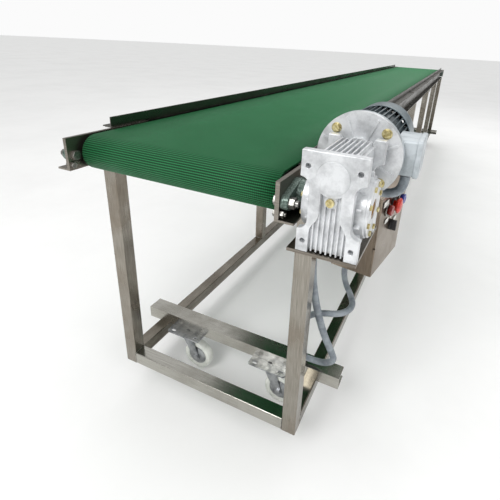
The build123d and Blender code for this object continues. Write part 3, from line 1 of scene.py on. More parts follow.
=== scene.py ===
"""Looks of a mobile belt conveyor section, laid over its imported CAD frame.

Every sub-assembly is a class that builds its meshes and dresses its CAD nodes.
Lengths are written in millimetres and turned to metres by MM where a mesh is made.
X runs across the belt, Y from the drive end to the tail, Z up from the floor.
"""
from __future__ import annotations

import json
import logging
import math
from dataclasses import dataclass, replace
from enum import Enum

import bmesh
import bpy
import numpy as np
from mathutils import Matrix, Vector

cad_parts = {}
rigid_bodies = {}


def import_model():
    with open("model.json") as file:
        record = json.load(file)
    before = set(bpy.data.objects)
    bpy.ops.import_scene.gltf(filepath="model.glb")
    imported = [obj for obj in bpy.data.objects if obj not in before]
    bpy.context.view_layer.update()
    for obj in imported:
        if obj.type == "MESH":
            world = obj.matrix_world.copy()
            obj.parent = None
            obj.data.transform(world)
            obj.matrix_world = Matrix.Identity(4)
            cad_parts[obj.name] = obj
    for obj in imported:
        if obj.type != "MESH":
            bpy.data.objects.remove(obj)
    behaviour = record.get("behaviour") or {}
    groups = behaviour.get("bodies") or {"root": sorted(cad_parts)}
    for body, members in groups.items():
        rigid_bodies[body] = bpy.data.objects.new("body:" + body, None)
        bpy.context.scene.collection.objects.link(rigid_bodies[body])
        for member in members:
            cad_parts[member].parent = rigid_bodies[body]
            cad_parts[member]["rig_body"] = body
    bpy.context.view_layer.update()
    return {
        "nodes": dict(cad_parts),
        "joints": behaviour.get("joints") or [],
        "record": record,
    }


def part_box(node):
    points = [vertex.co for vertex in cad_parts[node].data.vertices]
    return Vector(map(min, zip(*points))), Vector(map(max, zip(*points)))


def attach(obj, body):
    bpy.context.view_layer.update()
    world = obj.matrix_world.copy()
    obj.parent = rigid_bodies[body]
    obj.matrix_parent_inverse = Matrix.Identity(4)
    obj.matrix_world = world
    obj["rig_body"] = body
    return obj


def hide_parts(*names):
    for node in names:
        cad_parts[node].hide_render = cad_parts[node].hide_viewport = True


LOG = logging.getLogger("conveyor")
MM = 0.001
Point = tuple[float, float, float]
Tree = bpy.types.NodeTree
Node = bpy.types.Node
Socket = bpy.types.NodeSocket
Piece = bpy.types.Object
Shape = tuple[np.ndarray, list[list[int]]]
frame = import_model()


# ---- nodes and colours ------------------------------------------------------


def srgb(code: str) -> tuple[float, float, float, float]:
    """Turns an sRGB hex colour to linear light.

    Args:
        code: Colour such as "#8b9298".

    Returns:
        Linear red, green, blue and an alpha of one.
    """
    values = np.array([int(code[i : i + 2], 16) for i in (1, 3, 5)]) / 255.0
    linear = np.where(values <= 0.04045, values / 12.92, ((values + 0.055) / 1.055) ** 2.4)
    return (*(float(v) for v in linear), 1.0)


def add_node(tree: Tree, kind: str, settings: dict, inputs: dict) -> Node:
    """Adds one node, with its settings, values and links.

    Args:
        tree: Node tree that gets the node.
        kind: Blender's identifier of the node.
        settings: Attribute names and what each is set to.
        inputs: Input names or numbers, each with a value or the output that feeds it.

    Returns:
        The new node.
    """
    node = tree.nodes.new(kind)
    for key, value in settings.items():
        setattr(node, key, value)
    for key, value in inputs.items():
        if isinstance(value, Socket):
            tree.links.new(value, node.inputs[key])
        else:
            node.inputs[key].default_value = value
    return node


def add_ramp(tree: Tree, factor: Socket, stops: list[tuple[float, str]]) -> Socket:
    """Adds a colour ramp.

    Args:
        tree: Node tree that gets the ramp.
        factor: Output that drives it.
        stops: Position and sRGB hex colour of each stop, in order.

    Returns:
        Its colour output.
    """
    ramp = add_node(tree, "ShaderNodeValToRGB", {}, {"Fac": factor})
    elements = ramp.color_ramp.elements
    while len(elements) < len(stops):
        elements.new(0.5)
    for element, (position, colour) in zip(elements, stops):
        element.position = position
        element.color = srgb(colour)
    return ramp.outputs["Color"]


def add_noise(
    tree: Tree, place: Socket, per_metre: float, detail: float, roughness: float = 0.5
) -> Socket:
    """Adds noise with so many cells to a metre, and returns its factor output."""
    inputs = {"Vector": place, "Scale": per_metre, "Detail": detail, "Roughness": roughness}
    return add_node(tree, "ShaderNodeTexNoise", {}, inputs).outputs["Fac"]


def add_math(tree: Tree, operation: str, *values: float | Socket) -> Socket:
    """Adds a math node on the values, and returns its value output."""
    node = add_node(tree, "ShaderNodeMath", {"operation": operation}, dict(enumerate(values)))
    return node.outputs["Value"]


def add_range(
    tree: Tree,
    value: Socket,
    source: tuple[float, float],
    target: tuple[float, float] = (0.0, 1.0),
) -> Socket:
    """Maps a value from a source range to a target range, and returns the result output."""
    limits = dict(zip(("From Min", "From Max", "To Min", "To Max"), source + target))
    return add_node(tree, "ShaderNodeMapRange", {}, {"Value": value, **limits}).outputs["Result"]


def add_mix(
    tree: Tree, factor: Socket, first: Socket, second: str
) -> Socket:
    """Mixes a colour output with an sRGB hex colour, and returns the mixed colour output."""
    inputs = {0: factor, 6: first, 7: srgb(second)}
    return add_node(tree, "ShaderNodeMix", {"data_type": "RGBA"}, inputs).outputs[2]


def add_bump(
    tree: Tree, height: Socket, strength: float, depth_mm: float, invert: bool = False
) -> Socket:
    """Adds bump of the given depth, and returns its normal output."""
    inputs = {"Strength": strength, "Distance": depth_mm * MM, "Height": height}
    return add_node(tree, "ShaderNodeBump", {"invert": invert}, inputs).outputs["Normal"]


class Grain(Enum):
    """Direction of the brushing lines on a piece."""

    ACROSS = (1.0, 0.0, 0.0)
    ALONG = (0.0, 1.0, 0.0)
    UPRIGHT = (0.0, 0.0, 1.0)


@dataclass(frozen=True)
class Finish:
    """A material finish. Subclasses add the nodes that feed the shader."""

    name: str
    slot: str

    def build(self) -> bpy.types.Material:
        """Makes the material once, and returns the same one on later calls."""
        found = bpy.data.materials.get(self.name)
        if found is not None:
            return found
        material = bpy.data.materials.new(self.name)
        material.use_nodes = True
        tree = material.node_tree
        tree.nodes.clear()
        shader = add_node(tree, "ShaderNodeBsdfPrincipled", {}, {})
        add_node(tree, "ShaderNodeOutputMaterial", {}, {"Surface": shader.outputs["BSDF"]})
        self.dress(tree, shader)
        return material

    def dress(self, tree: Tree, shader: Node) -> None:
        """Feeds the shader. The base class leaves it plain."""


@dataclass(frozen=True)
class BrushedSteel(Finish):
    """Stainless steel, belt-ground along one direction.

    Fine lines give the grain, and wide clouds give the brown and grey patches that handling
    and welding leave.
    """

    grain: Grain = Grain.ALONG
    light: str = "#c6c2bb"
    dark: str = "#aaa59c"
    stain: str = "#857461"
    roughness: float = 0.24
    line_mm: float = 0.35
    line_depth_mm: float = 0.04
    drawn_out: float = 0.985
    cloud_mm: float = 160.0
    stain_share: float = 0.6

    def dress(self, tree: Tree, shader: Node) -> None:
        """Adds the brushing lines, the clouds and the bump."""
        place = add_node(tree, "ShaderNodeTexCoord", {}, {}).outputs["Object"]
        fine = 1.0 / (self.line_mm * MM)
        stretch = [fine * (1.0 - self.drawn_out * part) for part in self.grain.value]
        lines_at = add_node(tree, "ShaderNodeMapping", {}, {"Vector": place, "Scale": stretch})
        lines = add_noise(tree, lines_at.outputs["Vector"], 0.4, 3.0)
        clouds = add_noise(tree, place, 1.0 / (self.cloud_mm * MM), 4.0, 0.6)
        grained = add_ramp(tree, lines, [(0.3, self.dark), (0.7, self.light)])
        stained = add_ramp(tree, clouds, [(0.45, "#000000"), (0.75, "#ffffff")])
        colour = add_mix(tree, add_math(tree, "MULTIPLY", stained, self.stain_share), grained, self.stain)
        rough = add_range(tree, clouds, (0.3, 0.7), (self.roughness - 0.07, self.roughness + 0.12))
        tree.links.new(colour, shader.inputs["Base Color"])
        tree.links.new(rough, shader.inputs["Roughness"])
        tree.links.new(add_bump(tree, lines, 0.2, self.line_depth_mm), shader.inputs["Normal"])
        shader.inputs["Metallic"].default_value = 1.0


@dataclass(frozen=True)
class Coating(Finish):
    """Paint, plating or moulded plastic with a fine skin.

    The skin is noise of one grain size, which gives paint its orange peel and a casting its
    sand; a cloud pattern shifts the tone where dust has settled or a surface has worn.
    """

    light: str = "#d5d6d8"
    dark: str = "#a9abad"
    metallic: float = 0.0
    roughness: float = 0.4
    grain_mm: float = 2.0
    depth_mm: float = 0.05
    cloud_mm: float = 45.0
    coat: float = 0.0

    def dress(self, tree: Tree, shader: Node) -> None:
        """Adds the tone clouds, the skin and the roughness that goes with them."""
        place = add_node(tree, "ShaderNodeTexCoord", {}, {}).outputs["Object"]
        clouds = add_noise(tree, place, 1.0 / (self.cloud_mm * MM), 5.0, 0.65)
        skin = add_noise(tree, place, 1.0 / (self.grain_mm * MM), 2.0)
        colour = add_ramp(tree, clouds, [(0.36, self.dark), (0.58, self.light)])
        dull, glossy = min(1.0, self.roughness + 0.1), max(0.05, self.roughness - 0.06)
        tree.links.new(colour, shader.inputs["Base Color"])
        tree.links.new(add_range(tree, clouds, (0.3, 0.7), (dull, glossy)), shader.inputs["Roughness"])
        tree.links.new(add_bump(tree, skin, 0.5, self.depth_mm), shader.inputs["Normal"])
        shader.inputs["Metallic"].default_value = self.metallic
        shader.inputs["Coat Weight"].default_value = self.coat


@dataclass(frozen=True)
class Hammertone(Finish):
    """Hammer-finish paint on a casting: cells 3 mm across with raised middles, a mottle whose lighter middles
    are a painted sheen.
    """

    light: str = "#7f9088"
    dark: str = "#4a5a53"
    cell_mm: float = 3.0

    def dress(self, tree: Tree, shader: Node) -> None:
        """Adds the cells as bump, and as colour with a painted sheen on their middles."""
        place = add_node(tree, "ShaderNodeTexCoord", {}, {}).outputs["Object"]
        inputs = {"Vector": place, "Scale": 1.0 / (self.cell_mm * MM)}
        cells = add_node(tree, "ShaderNodeTexVoronoi", {}, inputs).outputs["Distance"]
        # Lighter cell middles: painted sheen on the raised middles.
        colour = add_ramp(tree, cells, [(0.1, self.light), (0.7, self.dark)])
        tree.links.new(colour, shader.inputs["Base Color"])
        tree.links.new(add_bump(tree, cells, 0.6, 0.3, invert=True), shader.inputs["Normal"])
        shader.inputs["Metallic"].default_value = 0.35
        shader.inputs["Roughness"].default_value = 0.32


@dataclass(frozen=True)
class RibbedPvc(Finish):
    """Green PVC belt cover, extruded with ribs across the belt and a fine rough top.

    UV is the place across and along the belt in metres. A cosine of the place along paints a highlight on
    each rib's crest and shade in its groove, a weaker cosine of the place across breaks these into painted
    glint dots where light catches the fabric-impressed top, and clouds give the dusty tone of a used belt.
    """

    rib_mm: float = 5.0
    # Pitch and share of the painted glint dots across each rib.
    glint_dot_mm: float = 4.2
    # Crest is a painted highlight and groove a painted shade; flank is the green between them.
    crest: str = "#2b8650"
    flank: str = "#0f4f2b"
    groove: str = "#03190b"
    dust: str = "#3f7d58"
    glint_dot_share: float = 0.3
    clouds_per_m: float = 9.0
    grit_mm: float = 1.6

    def dress(self, tree: Tree, shader: Node) -> None:
        """Adds the painted rib highlights and groove shade, the rough top and the dusty clouds."""
        place = add_node(tree, "ShaderNodeUVMap", {"uv_map": "belt"}, {}).outputs["UV"]
        parts = add_node(tree, "ShaderNodeSeparateXYZ", {}, {"Vector": place}).outputs
        ribs, glint_dots = (
            add_math(tree, "COSINE", add_math(tree, "MULTIPLY", parts[way], 2 * math.pi / (pitch * MM)))
            for way, pitch in (("Y", self.rib_mm), ("X", self.glint_dot_mm))
        )
        # Painted highlight on the crests and painted shade in the grooves, broken into glint dots.
        height = add_range(tree, add_math(tree, "MULTIPLY_ADD", glint_dots, self.glint_dot_share, ribs), (-1.1, 1.3))
        tones = add_ramp(tree, height, [(0.0, self.groove), (0.5, self.flank), (1.0, self.crest)])
        clouds = add_noise(tree, place, self.clouds_per_m, 5.0, 0.6)
        colour = add_mix(tree, add_range(tree, clouds, (0.45, 0.8), (0.0, 0.16)), tones, self.dust)
        grit = add_noise(tree, place, 1.0 / (self.grit_mm * MM), 2.0)
        tree.links.new(colour, shader.inputs["Base Color"])
        tree.links.new(add_bump(tree, grit, 0.5, 0.25), shader.inputs["Normal"])
        shader.inputs["Roughness"].default_value = 0.5
        shader.inputs["Specular IOR Level"].default_value = 0.22


# The leg and rail tube is 304 stainless, ground along its length: long soft highlights.
TUBE_UPRIGHT = BrushedSteel(
    "ground tube upright", "stainless_tube", grain=Grain.UPRIGHT, light="#a8a39a", dark="#79746b",
    stain="#67553f", roughness=0.22,
)
# Darker than the other tube copies: painted shade and painted dark reflection on the rails.
TUBE_ALONG = BrushedSteel(
    "ground tube along", "stainless_tube", grain=Grain.ALONG, light="#948e84", dark="#6b665d",
    stain="#4a3f33", roughness=0.2,
)
# Paler than the other tube copies: painted light on the cross members.
TUBE_ACROSS = BrushedSteel(
    "ground tube across", "stainless_tube", grain=Grain.ACROSS, light="#bcbab3", dark="#9c9a92",
    stain="#6d675c", roughness=0.2,
)
# Side sheets are mill-finish stainless that mirrors the floor and room; their dark colour is a painted dark
# reflection.
SHEET_ALONG = BrushedSteel(
    "mill sheet along", "stainless_sheet", grain=Grain.ALONG, light="#74736e", dark="#5b5954",
    stain="#3f3830", roughness=0.3,
)
# Thick cut plate, ground across: paler than the folded sheet.
SHEET_ACROSS = BrushedSteel(
    "mill sheet across", "stainless_sheet", grain=Grain.ACROSS, light="#969189", dark="#7a746b",
    stain="#55493c", roughness=0.3,
)
# Folded stainless of the control box, ground upright: warmer and duller than the tubes.
BOX_SHEET = BrushedSteel(
    "ground box sheet", "box_stainless", grain=Grain.UPRIGHT, light="#968a7c", dark="#7d7163",
    stain="#5c4f41", roughness=0.3,
)
# Shafts, drums and gears are turned or ground steel with rings too fine to see.
TURNED = BrushedSteel(
    "turned steel", "steel_drum", grain=Grain.ACROSS, light="#c2c3c4", dark="#9fa0a2",
    stain="#85827c", roughness=0.24,
)
GROUND_GEAR = BrushedSteel(
    "ground gear steel", "gear_steel", grain=Grain.ACROSS, light="#c4c5c7", dark="#a4a5a8",
    stain="#8c8a86", roughness=0.2,
)
# Tin bronze of the worm wheel, machined: warm and fairly bright.
BRONZE = BrushedSteel(
    "machined bronze", "gear_bronze", grain=Grain.ACROSS, light="#c79a58", dark="#a67c40",
    stain="#7d5a2c", roughness=0.27,
)
# Bright stainless screws and nuts, cold-formed: small sharp highlights.
SCREW = Coating(
    "cold-formed stainless", "stainless_bolt", light="#a9a8a4", dark="#74726d", metallic=1.0,
    roughness=0.33, grain_mm=1.2, depth_mm=0.02, cloud_mm=8.0,
)
# Yellow-passivated zinc on the gearbox screws: pale gold with a dull bloom.
YELLOW_ZINC = Coating(
    "yellow passivated zinc", "zinc_yellow", light="#ddd2a2", dark="#9c8950", metallic=1.0,
    roughness=0.33, grain_mm=1.0, depth_mm=0.02, cloud_mm=7.0,
)
# Silver-grey paint over die-cast aluminium: sandy skin, a soft metallic sheen.
CAST_SILVER = Coating(
    "painted die-cast aluminium", "cast_light", light="#e0e2e4", dark="#babcbe", metallic=0.45,
    roughness=0.36, grain_mm=1.1, depth_mm=0.07, cloud_mm=38.0,
)
# Pale blue-grey machine enamel sprayed on cast aluminium, satin.
MOTOR_GREY = Coating(
    "painted motor casting", "motor_paint", light="#c3cace", dark="#9da5a9", metallic=0.1,
    roughness=0.38, grain_mm=1.6, depth_mm=0.05, cloud_mm=50.0,
)
# The same blue-grey enamel on the finned core, painted dark as the shade between the fins.
FIN_GREY = Coating(
    "painted motor fins", "cast_dark", light="#59656a", dark="#39444a", metallic=0.15,
    roughness=0.36, grain_mm=1.8, depth_mm=0.06, cloud_mm=30.0,
)
# Enamel on the pressed fan cover, smooth enough for a soft gleam.
COVER_GREY = Coating(
    "painted fan cover", "fan_cover_paint", light="#87949a", dark="#646f74", metallic=0.1,
    roughness=0.3, grain_mm=2.5, depth_mm=0.03, cloud_mm=60.0, coat=0.2,
)
# Grey-green hammer-finish paint on the cast bearing flanges.
BEARING_GREEN = Hammertone("hammer-finish paint", "bearing_paint")
# Bright zinc on pressed steel, dulled by handling: a broad soft gleam.
BRIGHT_ZINC = Coating(
    "bright zinc plating", "chrome_pressing", light="#b0b2b4", dark="#7f8285", metallic=1.0,
    roughness=0.36, grain_mm=3.0, depth_mm=0.02, cloud_mm=25.0,
)
# Milky polyurethane tyre and rim: pale, slightly waxy.
MILKY = Coating(
    "milky polyurethane", "wheel_plastic", light="#e9ebe4", dark="#cfd3cb", roughness=0.26,
    grain_mm=3.0, depth_mm=0.02, cloud_mm=30.0, coat=0.3,
)
# Extruded polyamide conduit, mid grey and satin.
HOSE_GREY = Coating(
    "ribbed polyamide conduit", "grey_hose", light="#98a0a7", dark="#757d84", roughness=0.42,
    grain_mm=1.5, depth_mm=0.03, cloud_mm=28.0,
)
# Moulded nylon gland, darker and duller than its hose.
GLAND_GREY = Coating(
    "moulded gland nylon", "gland_plastic", light="#5c6165", dark="#43484c", roughness=0.45,
    grain_mm=1.2, depth_mm=0.03, cloud_mm=12.0,
)
# Injection-moulded push-button caps, coloured through and glossy.
RED_CAP = Coating(
    "red moulded cap", "red_plastic", light="#d8321f", dark="#b62214", roughness=0.28,
    grain_mm=1.5, depth_mm=0.015, cloud_mm=14.0, coat=0.3,
)
DARK_RED_CAP = replace(
    RED_CAP, name="dark red moulded cap", slot="dark_red_plastic", light="#96251f", dark="#701714",
    roughness=0.3,
)
BLUE_CAP = replace(RED_CAP, name="blue moulded cap", slot="blue_plastic", light="#31379c", dark="#20246f")
# Black mouldings of the selector, the collar and the fan, with a fine matt skin.
BLACK_PLASTIC = Coating(
    "black moulded plastic", "black_plastic", light="#2b2b2c", dark="#1b1b1c", roughness=0.45,
    grain_mm=1.0, depth_mm=0.03, cloud_mm=15.0,
)
FAN_PLASTIC = Coating(
    "black fan plastic", "fan_plastic", light="#2f3032", dark="#202122", roughness=0.5,
    grain_mm=1.0, depth_mm=0.03, cloud_mm=20.0,
)
# Blank engraving laminate for the plates on the door, white and satin.
WHITE_LAMINATE = Coating(
    "white engraving laminate", "black_plastic", light="#ecece7", dark="#d9d9d2", roughness=0.38,
    grain_mm=2.0, depth_mm=0.01, cloud_mm=12.0,
)
BELT_GREEN = RibbedPvc("green ribbed pvc", "belt_pvc")


# ---- mesh tools -------------------------------------------------------------


def grid_faces(rows: int, columns: int, wrap_rows: bool = False, wrap_columns: bool = False) -> np.ndarray:
    """Quads that join a grid of vertices stored row by row.

    Args:
        rows: Number of rows.
        columns: Number of vertices in a row.
        wrap_rows: Whether the last row joins the first.
        wrap_columns: Whether each row is a closed ring.

    Returns:
        Vertex numbers of each quad, one row each.
    """
    down = np.arange(rows if wrap_rows else rows - 1)
    over = np.arange(columns if wrap_columns else columns - 1)
    i, j = np.meshgrid(down, over, indexing="ij")
    i_next = (i + 1) % rows
    j_next = (j + 1) % columns
    corners = (i * columns + j, i * columns + j_next, i_next * columns + j_next, i_next * columns + j)
    return np.stack(corners, axis=-1).reshape(-1, 4)


def tube_faces(rings: int, steps: int) -> list[list[int]]:
    """Faces of a tube of rings stored one after another, with both ends closed."""
    faces = grid_faces(rings, steps, wrap_columns=True).tolist()
    return faces + [list(range(steps))[::-1], list(range((rings - 1) * steps, rings * steps))]


def add_object(name: str, data: bpy.types.ID) -> Piece:
    """Makes an object of the data and links it to the scene."""
    item = bpy.data.objects.new(name, data)
    bpy.context.scene.collection.objects.link(item)
    return item


def new_piece(name: str, vertices: np.ndarray, faces: list, finish: Finish) -> Piece:
    """Makes a closed smooth-shaded mesh at the origin, and dresses it.

    Args:
        name: Name of the piece.
        vertices: Places in metres, one row each.
        faces: Vertex numbers of each face.
        finish: Finish that it gets.

    Returns:
        The new object, with doubles merged and normals pointing out.
    """
    mesh = bpy.data.meshes.new(name)
    mesh.from_pydata(np.asarray(vertices).tolist(), [], [list(map(int, face)) for face in faces])
    shape = bmesh.new()
    shape.from_mesh(mesh)
    bmesh.ops.remove_doubles(shape, verts=shape.verts, dist=1e-6)
    bmesh.ops.recalc_face_normals(shape, faces=shape.faces)
    shape.to_mesh(mesh)
    shape.free()
    mesh.shade_smooth()
    piece = add_object(name, mesh)
    mesh.materials.append(finish.build())
    return piece


def round_edges(piece: Piece, width_mm: float, segments: int = 2) -> None:
    """Rounds every edge sharper than 32 degrees with a live bevel."""
    bevel = piece.modifiers.new("rounded edges", "BEVEL")
    bevel.width = width_mm * MM
    bevel.segments = segments
    bevel.limit_method = "ANGLE"
    bevel.angle_limit = math.radians(32)
    bevel.harden_normals = True
    bevel.use_clamp_overlap = True


def rounded_copy(node: str, finish: Finish, width_mm: float) -> Piece:
    """Stands a merged copy of a CAD node in its place, with softly rounded edges.

    Args:
        node: Name of the CAD node.
        finish: Finish of the copy.
        width_mm: Width of the rounding.

    Returns:
        The copy, which rides on the node's body.
    """
    source = frame["nodes"][node]
    mesh = source.data.copy()
    mesh.name = f"{node}_rounded"
    shape = bmesh.new()
    shape.from_mesh(mesh)
    bmesh.ops.remove_doubles(shape, verts=shape.verts, dist=2e-6)
    bmesh.ops.dissolve_limit(shape, angle_limit=math.radians(0.6), verts=shape.verts, edges=shape.edges)
    shape.to_mesh(mesh)
    shape.free()
    if mesh.has_custom_normals:
        with bpy.context.temp_override(object=None):
            mesh.attributes.remove(mesh.attributes["custom_normal"])
    mesh.shade_smooth()
    mesh.materials.clear()
    mesh.materials.append(finish.build())
    piece = add_object(f"{node}_rounded", mesh)
    round_edges(piece, width_mm)
    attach(piece, source["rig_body"])
    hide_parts(node)
    LOG.info("rounded %s", node)
    return piece


def dress(finish: Finish, *nodes: str) -> None:
    """Gives CAD nodes that keep their own mesh a better finish."""
    for node in nodes:
        materials = frame["nodes"][node].data.materials
        materials.clear()
        materials.append(finish.build())


def lathe(
    name: str,
    profile: list[tuple[float, float]],
    centre: Vector,
    axis: Vector,
    finish: Finish,
    steps: int = 48,
) -> Piece:
    """Turns a profile about an axis: each ring is the centre, plus the axis times the profile's
    height, plus the radius times (cosine, sine) in the plane square to the axis.

    Args:
        name: Name of the piece.
        profile: Radius and height of each profile point in millimetres, from one pole to the other.
        centre: Where height zero lies, in metres.
        axis: Direction of growing height.
        finish: Finish of the piece.
        steps: Points round each ring.

    Returns:
        The closed piece.
    """
    outline = np.array(profile) * MM
    way = np.array(axis.normalized())
    side = np.array(axis.orthogonal().normalized())
    other = np.cross(way, side)
    angle = np.linspace(0, 2 * math.pi, steps, endpoint=False)
    round_way = np.cos(angle)[:, None] * side + np.sin(angle)[:, None] * other
    rings = (
        np.array(centre) + outline[:, 1, None, None] * way + outline[:, 0, None, None] * round_way[None, :, :]
    )
    faces = grid_faces(len(outline), steps, wrap_columns=True)
    return new_piece(name, rings.reshape(-1, 3), faces, finish)


def arc(centre: tuple[float, float], radius: float, start: float, end: float, count: int = 9) -> np.ndarray:
    """Points on a circle from one angle to another, in degrees: centre plus radius times (cos, sin)."""
    angle = np.radians(np.linspace(start, end, count))
    return np.stack([centre[0] + radius * np.cos(angle), centre[1] + radius * np.sin(angle)], axis=1)


def slab(
    outline: np.ndarray, origin: Vector, right: Vector, up: Vector, depth: float
) -> Shape:
    """A flat outline carried along a straight path square to it: each vertex is the origin plus
    its two outline lengths along right and up, once at the start and once a depth further.

    Args:
        outline: Outline points in millimetres, in order.
        origin: Place of the outline's zero, in metres.
        right: Direction of the outline's first length.
        up: Direction of its second length.
        depth: Length of the path in millimetres, along right cross up.

    Returns:
        Vertices in metres, and faces with two flat ends.
    """
    flat = np.asarray(outline) * MM
    base = np.array(origin) + flat[:, :1] * np.array(right) + flat[:, 1:] * np.array(up)
    way = np.array(right.cross(up).normalized()) * depth * MM
    return np.concatenate([base, base + way]), tube_faces(2, len(flat))


def box_slab(low: Point, high: Point) -> Shape:
    """A block between two corners in millimetres, as vertices in metres and faces."""
    outline = np.array([(low[0], low[1]), (high[0], low[1]), (high[0], high[1]), (low[0], high[1])])
    origin = Vector((0, 0, low[2] * MM))
    return slab(outline, origin, Vector((1, 0, 0)), Vector((0, 1, 0)), high[2] - low[2])


def join_shapes(shapes: list[Shape]) -> Shape:
    """Puts several (vertices, faces) pairs into one, shifting each one's vertex numbers."""
    vertices = np.concatenate([shape[0] for shape in shapes])
    starts = np.cumsum([0] + [len(shape[0]) for shape in shapes[:-1]])
    faces = [[int(v) + int(start) for v in face] for start, shape in zip(starts, shapes) for face in shape[1]]
    return vertices, faces


def cut_holes(piece: Piece, cutters: list[Piece]) -> None:
    """Cuts each cutter out of the piece, bakes the result into its mesh and removes the cutters."""
    for number, cutter in enumerate(cutters):
        cut = piece.modifiers.new(f"cut {number}", "BOOLEAN")
        cut.object = cutter
        cut.operation = "DIFFERENCE"
        cut.solver = "EXACT"
    bpy.context.view_layer.update()
    evaluated = piece.evaluated_get(bpy.context.evaluated_depsgraph_get())
    mesh = bpy.data.meshes.new_from_object(evaluated)
    piece.modifiers.clear()
    piece.data = mesh
    for cutter in cutters:
        bpy.data.objects.remove(cutter)


def node_box(node: str) -> tuple[np.ndarray, np.ndarray]:
    """Lowest and highest corner of a CAD node, in millimetres."""
    low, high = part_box(node)
    return np.array(low) / MM, np.array(high) / MM


def joint_axis(name: str) -> Vector:
    """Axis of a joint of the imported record."""
    return Vector(next(joint["axis"] for joint in frame["joints"] if joint["name"] == name))


# ---- sub-assemblies ---------------------------------------------------------


@dataclass
class Stand:
    """Square-tube stand with its side sheets, bed, rollers and weld seams."""

    bays: int = 5
    bead_mm: float = 2.2
    ripple_mm: float = 3.0
    ripple_share: float = 0.14
    bead_inset_mm: float = 3.0
    bead_steps: int = 8

    def build(self) -> None:
        """Dresses the tubes and sheets, and lays the weld beads."""
        dress(TUBE_UPRIGHT, "legs_left", "legs_right")
        dress(TUBE_ALONG, "bottom_rail_left", "bottom_rail_right")
        dress(TUBE_ACROSS, "cross_members")
        rounded_copy("castor_bars", TUBE_ACROSS, 1.0)
        for side in ("left", "right"):
            rounded_copy(f"side_channel_{side}", SHEET_ALONG, 0.8)
            rounded_copy(f"side_guard_{side}", SHEET_ALONG, 0.7)
            rounded_copy(f"drive_plate_{side}", SHEET_ACROSS, 0.8)
        rounded_copy("tail_plates", SHEET_ACROSS, 0.8)
        dress(SHEET_ALONG, "slider_bed")
        dress(TURNED, "drive_drum", "tail_drum", "return_roller_1", "return_roller_2")
        dress(GROUND_GEAR, "drive_shaft", "tail_shaft")
        dress(SCREW, "return_roller_hangers")
        self.weld_beads()

    def bead(self, start: np.ndarray, end: np.ndarray) -> Shape:
        """A weld bead: a tube along a line, whose radius swells and narrows as a sine of the
        length to give the ripples of a hand weld, and goes to nothing at both ends.

        Args:
            start: One end, in millimetres.
            end: The other end.

        Returns:
            Vertices in metres, and faces.
        """
        length = float(np.linalg.norm(end - start))
        way = (end - start) / length
        side = np.cross(way, [0.31, 0.53, 0.79])
        side /= np.linalg.norm(side)
        other = np.cross(way, side)
        along = np.linspace(0, 1, max(12, int(length / self.ripple_mm * 4)))
        ripple = np.sin(2 * math.pi * along * length / self.ripple_mm)
        swell = 1.0 - self.ripple_share + self.ripple_share * ripple
        ends = np.clip(np.minimum(along, 1 - along) * length / 2.0, 0.02, 1.0)
        angle = np.linspace(0, 2 * math.pi, self.bead_steps, endpoint=False)
        ring = np.cos(angle)[:, None] * side + np.sin(angle)[:, None] * other
        rows = start + along[:, None] * (end - start)
        radius = self.bead_mm * 0.5 * swell * np.sqrt(ends)
        points = rows[:, None, :] + radius[:, None, None] * ring[None, :, :]
        return points.reshape(-1, 3) * MM, tube_faces(len(along), self.bead_steps)

    def joints(self) -> list[tuple[np.ndarray, np.ndarray]]:
        """Ends of every weld line, read from the CAD boxes of the tubes.

        Returns:
            Start and end of each line in millimetres.
        """
        legs_low, legs_high = node_box("legs_right")
        rail_low, rail_high = node_box("bottom_rail_right")
        left_low, left_high = node_box("legs_left")
        tube = rail_low[1] - legs_low[1]
        first, last = legs_low[1], legs_high[1] - tube
        pitch = (last - first) / self.bays
        bottom, top = rail_low[2], rail_high[2]
        inset = self.bead_inset_mm
        lines = []
        for low, high, inner in ((legs_low, legs_high, legs_low[0]), (left_low, left_high, left_high[0])):
            corners = [(low[0], bottom), (high[0], bottom), (high[0], top), (low[0], top)]
            for y in (first + tube, last):
                for (x0, z0), (x1, z1) in zip(corners, corners[1:] + corners[:1]):
                    lines.append(((x0, y, z0), (x1, y, z1)))
            for y in (first, last):
                lines.append(((inner, y, top), (inner, y + tube, top)))
                lines += [((inner, edge, bottom), (inner, edge, top)) for edge in (y, y + tube)]
            for y in (first + index * pitch for index in range(1, self.bays)):
                for edge in (y, y + tube):
                    lines.append(((low[0] + inset, edge, top), (high[0] - inset, edge, top)))
                for x in (low[0], high[0]):
                    lines.append(((x, y + inset, top), (x, y + tube - inset, top)))
        return [(np.array(start), np.array(end)) for start, end in lines]

    def weld_beads(self) -> None:
        """Makes one piece of all the beads, which are as bright as the fasteners."""
        vertices, faces = join_shapes([self.bead(start, end) for start, end in self.joints()])
        piece = new_piece("weld_beads", vertices, faces, SCREW)
        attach(piece, "frame")
        LOG.info("weld beads")


